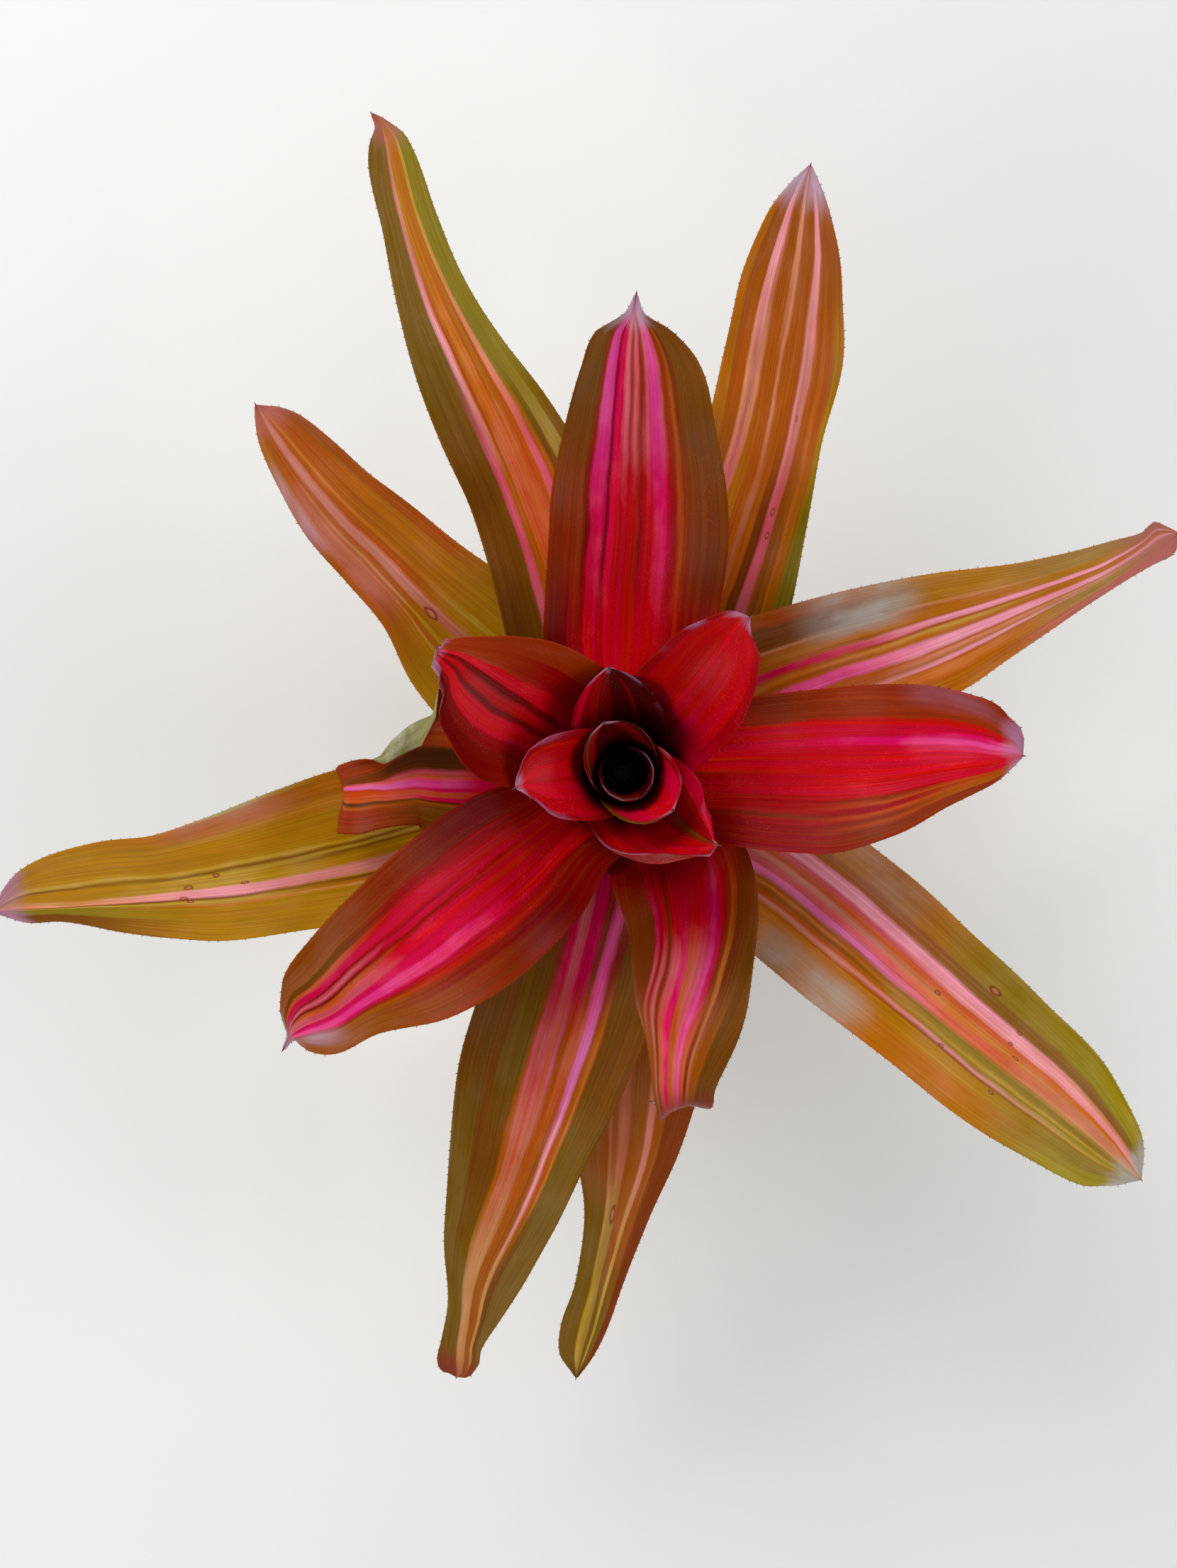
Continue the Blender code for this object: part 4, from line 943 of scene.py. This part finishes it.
# The middle leaves are open and lie out over the large ones. They are crimson at the heart, with
# magenta stripes that widen towards the tip and dark brown margins that wave a little.
grow_tier("middle_leaves", [
    dict(name="middle_leaf_right", rank=8, turn=1, wrap=72, stations=[
        (30.5, 0, 176.5, 24, 25, 31.5), (51, 0, 190, 25.5, 28, 45), (69, 0, 197, 27, 28.5, 50),
        (84, 0.5, 202, 27, 23.5, 50), (99, 2, 205, 25, 16.5, 42), (112, 3, 207, 20.5, 11, 30),
        (120, 3.5, 206, 15, 7, 18), (124.5, 3.5, 206, 9, 3.5, 12), (127, 3, 205, 0.8, 0.8, 8)],
        tip=("mauve", 0.945, 0.985),
        sway=[(0, 0.04), (0.55, 0.04), (0.75, 0.02), (0.9, -0.02), (0.95, -0.06), (1, -0.08)],
        zones=[(0.34, "0 maroon, .2 dark red, .45 blood, .6 dark red, .85 maroon"),
               (0.52, "0 dark red, .14 blood, .17 red brown, .2 blood, .3 red, .6 crimson, .66 red, "
                      ".76 red brown"),
               (0.72, "0 red brown, .08 red orange, .11 red brown, .15 red orange, .18 dark red, "
                      ".22 red orange, .25 red brown, .28 red, .57 crimson, .6 hot pink, .66 crimson, "
                      ".7 red, .77 russet"),
               (0.9, "0 red brown, .1 rust, .2 red orange, .26 red, .5 crimson, .56 hot pink, "
                     ".6 hot magenta, .64 hot pink, .68 red, .77 russet")],
        bloom_and_sheen=[(0.8, 0.93, 0.88, 1, 0.3, "mauve")]),
    dict(name="middle_leaf_top", rank=9, turn=89, wrap=70, stations=[
        (29.5, 1, 169, 22, 24, 31), (45, 1, 182.5, 27.5, 31, 45), (60, 1, 192, 26.5, 32.5, 60),
        (76, 0, 199, 26.5, 32.5, 65), (92, 0, 205, 25.5, 31.5, 60), (110, 0, 211, 21.5, 27, 50),
        (127, 0, 214, 16.5, 22, 40), (138, 0, 215, 12, 12.5, 25), (143.5, 0, 216, 3, 3.5, 10),
        (149, -0.5, 217, 0.5, 0.5, 8)],
        tip=("lilac", 0.94, 0.975),
        zones=[(0.38, "0 dark red, .22 blood, .3 red, .64 blood, .68 red, .76 dark red, .85 maroon"),
               (0.58, "0 chestnut, .18 red brown, .24 red orange, .26 dark red, .3 cherry, .37 blood, "
                      ".44 maroon, .46 blood, .58 crimson, .63 maroon, .655 cherry, .75 maroon, "
                      ".79 red brown"),
               (0.85, "0 brown, .2 chestnut, .24 rust, .26 red brown, .31 rose, .33 magenta, .39 rose, "
                      ".42 brick, .46 rose, .49 brick, .52 rose, .57 cherry, .63 maroon, .655 magenta, "
                      ".75 red brown, .79 brown")]),
    dict(name="middle_leaf_lower_left", rank=10, turn=218, wrap=70, stations=[
        (31.5, 1, 163.5, 23.5, 21, 32.5), (49, 1.5, 179, 29.5, 27.5, 45), (72, 1.5, 191, 31, 27.5, 60),
        (95, 2, 199, 26, 25.5, 60), (114, 2, 204, 15.5, 22.5, 40), (127, 1.5, 205, 13, 18, 25),
        (134, 1, 205, 7, 9, 15), (136.5, 1, 204, 1.6, 2, 10), (141, 2.5, 203, 0.5, 0.5, 8)],
        tip=("lilac", 0.955, 0.99),
        sway=[(0, 0), (0.8, 0), (0.88, 0.02), (0.94, -0.06), (1, -0.08)],
        zones=[(0.33, "0 deep red, .3 dark red, .6 blood, .7 deep red"),
               (0.42, "0 maroon, .2 dark red, .28 blood, .4 dark red, .43 blood, .7 dark red, "
                      ".78 maroon"),
               (0.63, "0 red brown, .18 dark red, .24 blood, .27 crimson, .36 dark red, .38 crimson, "
                      ".42 maroon, .44 crimson, .6 hot pink, .68 blood, .76 deep red, .82 red brown"),
               (0.85, "0 sienna, .19 brown, .24 coral, .28 cherry, .34 maroon, .36 rose, .4 maroon, "
                      ".43 coral, .47 rose, .54 cherry, .6 hot magenta, .67 cherry, .7 red brown, "
                      ".73 rust, .75 sienna")],
        bloom_and_sheen=[(0.91, 0.94, 0.7, 0.86, 0.75, "lilac")]),
    dict(name="middle_leaf_bottom", rank=11, turn=287, wrap=70, stations=[
        (34, 3, 155.5, 22, 19.5, 36.5), (42, 4.5, 169, 29, 20, 42), (55, 4, 180, 27.5, 18.5, 50),
        (68, 2, 188, 22, 19, 50), (80, -3, 195, 20, 17, 45), (93, -9, 199, 15.5, 11, 35),
        (103, -12.5, 199, 11, 9.5, 25), (109, -14, 195, 10, 8.5, 18), (111, -15, 188, 8, 7.5, 14),
        (110, -18, 184, 2.5, 3, 9), (108, -23, 182, 0.5, 0.5, 8)],
        tip=("brick", 0.83, 0.9), tip_middle=1,
        sway=[(0, 0.3), (0.36, 0.155), (0.5, 0.085), (0.61, -0.005), (0.75, -0.135), (1, -0.24)],
        zones=[(0.32, "0 deep red, .13 blood, .18 dark red, .21 blood, .26 dark red, .32 blood, .45 red, "
                      ".56 blood, .6 red, .7 blood, .8 deep red"),
               (0.46, "0 chestnut, .14 cherry, .18 dark red, .21 crimson, .25 red brown, .3 red, "
                      ".38 crimson, .44 red, .52 crimson, .58 hot pink, .625 red, .68 red brown, "
                      ".71 red orange, .75 chestnut"),
               (0.6, "0 chestnut, .15 rose, .18 red brown, .21 rose, .25 red brown, .3 rose, "
                     ".38 hot pink, .44 coral, .5 rose, .58 hot magenta, .63 cherry, .67 red brown, "
                     ".72 orange, .76 chestnut, .84 brown"),
               (0.78, "0 clay pink, .12 sienna, .22 clay pink, .25 brick, .29 coral, .355 hot pink, "
                      ".435 coral, .53 rose, .575 hot magenta, .625 coral, .7 red brown, .745 clay pink, "
                      ".78 sienna, .9 brown")]),
    dict(name="middle_leaf_left", rank=12, turn=184, stations=[
        (32, 2, 158, 26, 28, 33), (44, 2, 167, 22, 31, 40), (56, 1.5, 174, 18, 32.5, 45),
        (66, 0.5, 178, 14.5, 34, 60), (69.5, 0, 179, 13, 33, 60, 0, 150),
        (75, 0, 181, 12.5, 26, 55, 0, 160), (80, 0, 182, 13, 18, 45, 0, 140),
        (85, -0.5, 182, 15, 12, 30, 0, 50), (91, -0.5, 180, 15.5, 9.5, 18, -20, 0),
        (94, -0.5, 176, 13.5, 8, 14, -30, 0), (94.5, 1, 172, 4, 4, 10)],
        tip=("brick", 0.95, 0.985), tip_middle=1, light=1.15,
        zones=[(0.5, "0 maroon, .2 red brown, .4 crimson, .6 dark red, .8 maroon"),
               (0.66, "0 chestnut, .12 brown, .16 coral, .22 red orange, .3 dark brown, .41 rose, "
                      ".43 coral, .455 hot magenta, .5 cherry, .54 coral, .6 cherry, .64 dark brown, "
                      ".665 rust, .69 brown, .9 chestnut"),
               (0.9, "0 red brown, .3 chestnut, .42 rose, .46 orchid, .51 red orange, .58 coral, "
                     ".65 dark brown, .69 rust, .73 red brown")]),
], "middle_leaf", 1.5, 37)


# The outer leaves are the oldest and longest, and droop towards their tips. They are leathery,
# olive and mustard with pink stripes, with grey patches that are partly scurf and partly painted
# sheen, and scarred where they were knocked.
grow_tier("outer_leaves", [
    dict(name="outer_leaf_right", rank=13, turn=24, stations=[
        (46, 5, 155, 30, 30, 42), (67, 6, 163, 25, 27, 55), (100, 2.5, 170, 22, 24, 65),
        (120, 1, 170, 18.5, 22.5, 60), (136, -0.5, 168, 15.5, 18, 50), (152, -2, 165, 12.5, 13.5, 42),
        (170, -3, 161, 10, 9.5, 35), (188, -3.5, 156, 8, 6.5, 22), (200, -3.5, 153, 6.5, 5.5, 14),
        (206, -3, 152, 8, 6, 12), (210, -2.5, 151, 4, 4.5, 10), (213, -2.5, 151, 0.5, 0.5, 8)],
        tip=("dusty rose", 0.84, 0.97), light=1.15, flush=("dusty pink", 0.12),
        sway=[(0, 0), (0.84, 0), (0.9, 0.07), (0.95, 0.2), (1, 0.24)],
        zones=[(0.38, "0 rust, .24 orange, .29 rust, .38 hot magenta, .46 rust, .5 orange, .53 rust, "
                      ".55 cherry, .6 orange brown, .72 salmon, .745 brown, .9 rust"),
               (0.6, "0 orange brown, .15 orange, .24 rust, .265 pale pink, .295 orange brown, "
                     ".32 salmon, .345 rust, .37 pale pink, .46 orange brown, .5 gold, .53 rust, "
                     ".56 pale pink, .615 orange brown, .73 salmon, .75 mustard"),
               (0.85, "0 dusty rose, .12 khaki, .3 dusty pink, .34 khaki, .37 pale pink, "
                      ".45 orange brown, .56 pale pink, .62 mustard, .75 khaki")],
        bloom_and_sheen=[(0.4, 0.53, 0.7, 1, 0.85, "ash")]),
    dict(name="outer_leaf_upper_left", rank=14, turn=111, stations=[
        (46, -3, 151.5, 29, 29, 42), (72, -4, 163, 23.5, 25, 55), (102, -4, 167, 20.5, 22.5, 65),
        (127, -3, 168, 21, 19, 65), (151, -2, 166, 20, 13, 55), (179, -1, 160, 16, 9, 45),
        (206, -0.5, 151, 11, 9, 38), (230, -2, 142, 9.5, 8.5, 28), (243, -3, 137, 6.5, 6.5, 18),
        (250, -3, 135, 2.4, 2.6, 10), (255, -1.5, 134, 0.5, 0.5, 8)],
        tip=("dusty rose", 0.93, 0.99), light=1.12,
        sway=[(0, 0), (0.5, -0.02), (0.6, 0), (0.68, 0.03), (0.76, 0.03), (0.86, 0), (0.95, -0.08),
              (1, -0.1)],
        zones=[(0.42, "0 brown, .1 khaki, .2 brown, .26 rust, .31 rose, .37 rust, .4 coral, .6 rust, "
                      ".66 rose, .73 brown"),
               (0.62, "0 olive, .3 salmon, .37 rust, .4 orange brown, .47 rust, .5 orange, .58 rust, "
                      ".63 pink, .68 drab"),
               (0.85, "0 olive, .31 gold, .37 orange brown, .55 mustard, .6 dusty pink, .66 drab")]),
    dict(name="outer_leaf_bottom_left", rank=15, turn=256, stations=[
        (47, 1.5, 149, 32, 32, 44), (82, 1, 163, 29.5, 31, 70), (110, 0, 166, 25.5, 31, 75),
        (139, -1.5, 162, 20.5, 25.5, 65), (170, -4.5, 152, 17.5, 17.5, 50),
        (198, -6, 142, 11.5, 8.5, 30), (213, -6.5, 136, 8, 7, 18), (220, -6, 134, 8, 7.5, 15),
        (225, -5, 133, 5, 5, 12), (227, -5, 132, 0.8, 0.8, 10)],
        tip=("brick", 0.94, 0.99), light=1.15,
        sway=[(0, 0), (0.62, 0), (0.72, -0.02), (0.84, -0.07), (0.92, 0.05), (0.97, 0.12), (1, 0.14)],
        zones=[(0.3, "0 brown, .36 brick, .4 cherry, .44 rose, .5 cherry, .58 brick, .62 hot magenta, "
                     ".68 brick, .74 brown"),
               (0.44, "0 brown, .22 drab, .36 rust, .38 rose, .41 coral, .43 rose, .46 coral, .49 rose, "
                      ".52 rust, .56 coral, .64 orchid, .69 rust, .73 orange, .75 brown"),
               (0.62, "0 drab, .15 brown, .34 rust, .38 clay pink, .42 coral, .45 clay pink, .5 rust, "
                      ".6 sienna, .655 pink, .69 rust, .73 orange, .75 drab"),
               (0.85, "0 drab, .33 tan, .37 salmon, .42 tan, .53 sienna, .66 tan, .71 brown, .8 drab")]),
    dict(name="outer_leaf_lower_right", rank=16, turn=325, stations=[
        (47, 2, 143, 32, 32, 44), (70, 3, 154, 27.5, 29.5, 60), (102, 0, 162, 27.5, 28, 80),
        (133, -3, 163, 26, 26, 85), (163, -5, 159, 24, 26, 80), (195, -7, 151, 20.5, 22.5, 60),
        (218, -9.5, 143, 13.5, 17, 35), (230, -11.5, 139, 7.5, 8.5, 20), (237, -12.5, 137, 0.8, 0.8, 10)],
        tip=("silver", 0.94, 0.975), light=1.25, flush=("salmon", 0.12),
        zones=[(0.42, "0 orange brown, .28 rust, .3 dusty pink, .33 rust, .36 brown, .38 orange, "
                      ".4 sienna, .43 orchid, .47 rose, .52 dusty pink, .56 coral, .6 rose, "
                      ".64 pale pink, .72 sienna, .8 orange brown"),
               (0.62, "0 orange brown, .18 mustard, .28 brown, .3 pink, .32 olive, .35 gold, .37 olive, "
                      ".43 coral, .5 orange, .56 coral, .61 pink, .66 pale pink, .71 drab, .8 olive"),
               (0.9, "0 green olive, .15 olive, .29 gold, .31 green olive, .35 gold, .37 olive, .43 tan, "
                     ".46 salmon, .56 orange, .61 pink, .67 salmon, .71 drab, .8 green olive")],
        bloom_and_sheen=[(0.34, 0.48, 0, 0.2, 0.65, "ash"), (0.34, 0.46, 0.8, 1, 0.3, "ash")],
        scars=[(0.26, 0.71, 0.9), (0.55, 0.71, 0.9), (0.61, 0.69, 0.8), (0.71, 0.69, 0.9),
               (0.56, 0.56, 0.9), (0.3, 0.61, 0.8), (0.82, 0.62, 1.8)]),
    dict(name="outer_leaf_left_upper", rank=17, turn=137, stations=[
        (47, 2, 144.5, 31, 28, 46), (75, 4, 152, 24, 27, 65), (95, 4, 155, 15.5, 24, 65),
        (115, 3, 155, 14, 21.5, 60), (135, 2.5, 153, 12.5, 19, 52), (156, 0, 149, 9, 16.5, 42),
        (171, -3, 146, 6, 12.5, 28), (180, -5.5, 143, 3, 6.5, 15), (185, -7, 142, 0.6, 0.6, 10)],
        tip=("dusty rose", 0.9, 0.99),
        zones=[(0.4, "0 mustard, .34 gold, .37 mustard, .45 clay pink, .53 mustard, .62 gold, "
                     ".645 orange brown, .69 gold, .71 mustard"),
               (0.57, "0 rust, .1 orange brown, .35 orange, .38 rust, .45 dusty pink, .54 rust, "
                      ".62 gold, .64 rust, .69 orange, .71 rust"),
               (0.9, "0 sienna, .12 rust, .34 orange, .38 rust, .43 dusty pink, .53 clay pink, .57 rust, "
                     ".8 orange brown")],
        bloom_and_sheen=[(0.72, 0.86, 0.86, 1, 0.5, "lilac"), (0.55, 0.8, 0.62, 0.9, 0.22, "pink")],
        scars=[(0.52, 0.48, 2.2)]),
    dict(name="outer_leaf_left", rank=18, turn=196, stations=[
        (49, 2, 138, 31, 31, 46), (81, 2, 150, 26, 29, 65), (98, 2, 157, 23.5, 31, 75),
        (120, 0.5, 160, 21.5, 28, 75), (147, -2, 159, 20, 23, 65), (165, -4, 156, 16, 20.5, 55),
        (184, -6.5, 153, 11, 21.5, 45), (204, -9.5, 147, 5.5, 19, 35), (217, -12, 143, 5, 14, 22),
        (225, -13.5, 141, 2.5, 7, 12), (229, -14, 140, 0.8, 0.8, 8)],
        tip=("mauve", 0.93, 0.975), light=1.18,
        sway=[(0, 0), (0.55, 0), (0.7, -0.03), (0.85, -0.07), (0.95, -0.11), (1, -0.12)],
        zones=[(0.42, "0 orange brown, .2 mustard, .39 gold, .41 brown, .43 gold, .45 brown, "
                      ".47 mustard, .55 dusty pink, .63 mustard, .64 brown, .66 orange brown, .69 tan, "
                      ".71 mustard"),
               (0.62, "0 moss, .02 orange brown, .15 mustard, .38 gold, .41 brown, .43 gold, .55 pink, "
                      ".63 brown, .65 gold, .69 orange, .71 mustard"),
               (0.88, "0 moss, .02 mustard, .38 gold, .42 brown, .44 mustard, .54 tan, .58 salmon, "
                      ".63 brown, .65 gold, .68 olive, .85 brown")],
        bloom_and_sheen=[(0.52, 0.68, 0, 0.14, 0.45, "dusty pink"), (0.56, 0.66, 0, 0.02, 0.5, "ash")],
        scars=[(0.52, 0.68, 1.3), (0.62, 0.69, 1.2), (0.655, 0.68, 1), (0.54, 0.595, 1),
               (0.455, 0.635, 1)]),
    dict(name="outer_leaf_upper_right", rank=19, turn=64, stations=[
        (49, -4, 139, 32, 32, 46), (70, -3, 148, 25, 27, 60), (100, 3, 155, 20.5, 24, 70),
        (127, 9, 157, 18.5, 22, 70), (155, 15, 155, 19, 22.5, 65), (181, 22, 151, 18, 18, 55),
        (204, 29, 146, 12, 11.5, 35), (216, 32.5, 143, 6, 6.5, 18), (225, 34.5, 141, 0.6, 0.6, 8)],
        tip=("lilac", 0.91, 0.975), light=1.1,
        sway=[(0, 0.1), (0.33, 0.06), (0.45, 0.02), (0.55, -0.02), (0.7, 0.02), (0.85, 0.01), (1, 0)],
        zones=[(0.42, "0 olive, .05 orange brown, .11 orange, .13 sienna, .22 rose, .29 chestnut, "
                      ".36 rust, .42 clay pink, .45 rust, .54 orange brown, .64 rose, .75 brown"),
               (0.62, "0 mustard, .05 rust, .12 orange, .14 rust, .21 dusty pink, .27 pink, .29 rust, "
                      ".44 salmon, .47 rust, .62 salmon, .675 dusty rose, .71 salmon, .76 rust, "
                      ".88 orange brown"),
               (0.88, "0 sienna, .2 pink, .27 sienna, .44 salmon, .5 sienna, .62 clay pink, .66 pink, "
                      ".75 sienna, .92 orange brown")],
        scars=[(0.25, 0.46, 1.1), (0.24, 0.425, 1), (0.25, 0.6, 0.7)]),
    dict(name="outer_leaf_bottom", rank=20, turn=272, stations=[
        (51, 4, 134, 33, 30, 48), (78, 4, 147, 26, 28, 65), (106, 1.5, 151, 23, 25, 70),
        (131, -1, 151, 16.5, 21.5, 55), (156, -7, 146, 11, 12, 42), (183, -14, 137, 8, 9, 28),
        (200, -18, 131, 6, 11.5, 20), (212, -21.5, 127, 4, 9, 14), (221, -24, 125, 0.6, 0.6, 8)],
        tip=("brown", 0.97, 1), streak=0.1, light=1.2,
        zones=[(0.6, "0 sienna, .3 clay pink, .33 sienna, .38 clay pink, .46 sienna, .62 dusty pink, "
                     ".69 sienna, .78 chestnut"),
               (0.72, "0 drab, .31 tan, .36 khaki, .47 sienna, .61 tan, .68 sienna, .82 chestnut"),
               (0.88, "0 drab, .33 gold, .42 khaki, .48 drab, .6 gold, .68 drab, .85 chestnut")],
        scars=[(0.43, 0.7, 2.6)]),
], "outer_leaf", 1.5, 53, gloss=0.4)


# The stage is a plain pale floor under three soft lights and a pale sky. The camera looks straight
# down from where the photo was taken, with a lens that frames the rosette as the photo does.
EYE = (-0.0118, -0.0039, 0.7425)
LENS = 38.57
FLOOR_HALF = 3.0
PLANT_MIDDLE = (0.0, 0.0, 0.15)
SKY = (0.90, 0.93, 1.0, 1.0)
SKY_STRENGTH = 0.30

floor_body = bmesh.new()
bmesh.ops.create_grid(floor_body, x_segments=1, y_segments=1, size=FLOOR_HALF)
floor_mesh = bpy.data.meshes.new("floor")
floor_body.to_mesh(floor_mesh)
floor_body.free()
floor = bpy.data.objects.new("floor", floor_mesh)
bpy.context.scene.collection.objects.link(floor)
floor_paint, tree, shader, place = new_finish("floor_paint")
shade = mixed(tree, fade(tree, grain(tree, place, 3.0, 4.0), 0.2, 0.8), paint("f0eeea"), paint("f4f2ee"))
tree.links.new(shade, shader.inputs["Base Color"])
shader.inputs["Roughness"].default_value = 0.8
floor.data.materials.append(floor_paint)


def soft_light(name, place, aim, size, power):
    """A square soft light at a place, turned to face a point."""
    lamp = bpy.data.lights.new(name, "AREA")
    lamp.shape = "SQUARE"
    lamp.size = size
    lamp.energy = power
    light = bpy.data.objects.new(name, lamp)
    light.location = place
    light.rotation_euler = (Vector(aim) - Vector(place)).to_track_quat("-Z", "Y").to_euler()
    bpy.context.scene.collection.objects.link(light)


soft_light("window_softbox", (-0.75, 1.15, 1.25), PLANT_MIDDLE, 1.1, 20.0)
soft_light("right_fill", (1.35, -0.15, 1.00), PLANT_MIDDLE, 1.0, 10.5)
soft_light("left_fill", (-1.05, -1.00, 1.00), PLANT_MIDDLE, 1.0, 10.0)
bpy.context.scene.view_settings.view_transform = "Standard"

world = bpy.data.worlds.new("studio_air")
world.use_nodes = True
world.node_tree.nodes["Background"].inputs["Color"].default_value = SKY
world.node_tree.nodes["Background"].inputs["Strength"].default_value = SKY_STRENGTH
bpy.context.scene.world = world

lens = bpy.data.cameras.new("camera")
lens.lens = LENS
lens.sensor_width = 36.0
camera = bpy.data.objects.new("camera", lens)
camera.location = EYE
bpy.context.scene.collection.objects.link(camera)
bpy.context.scene.camera = camera
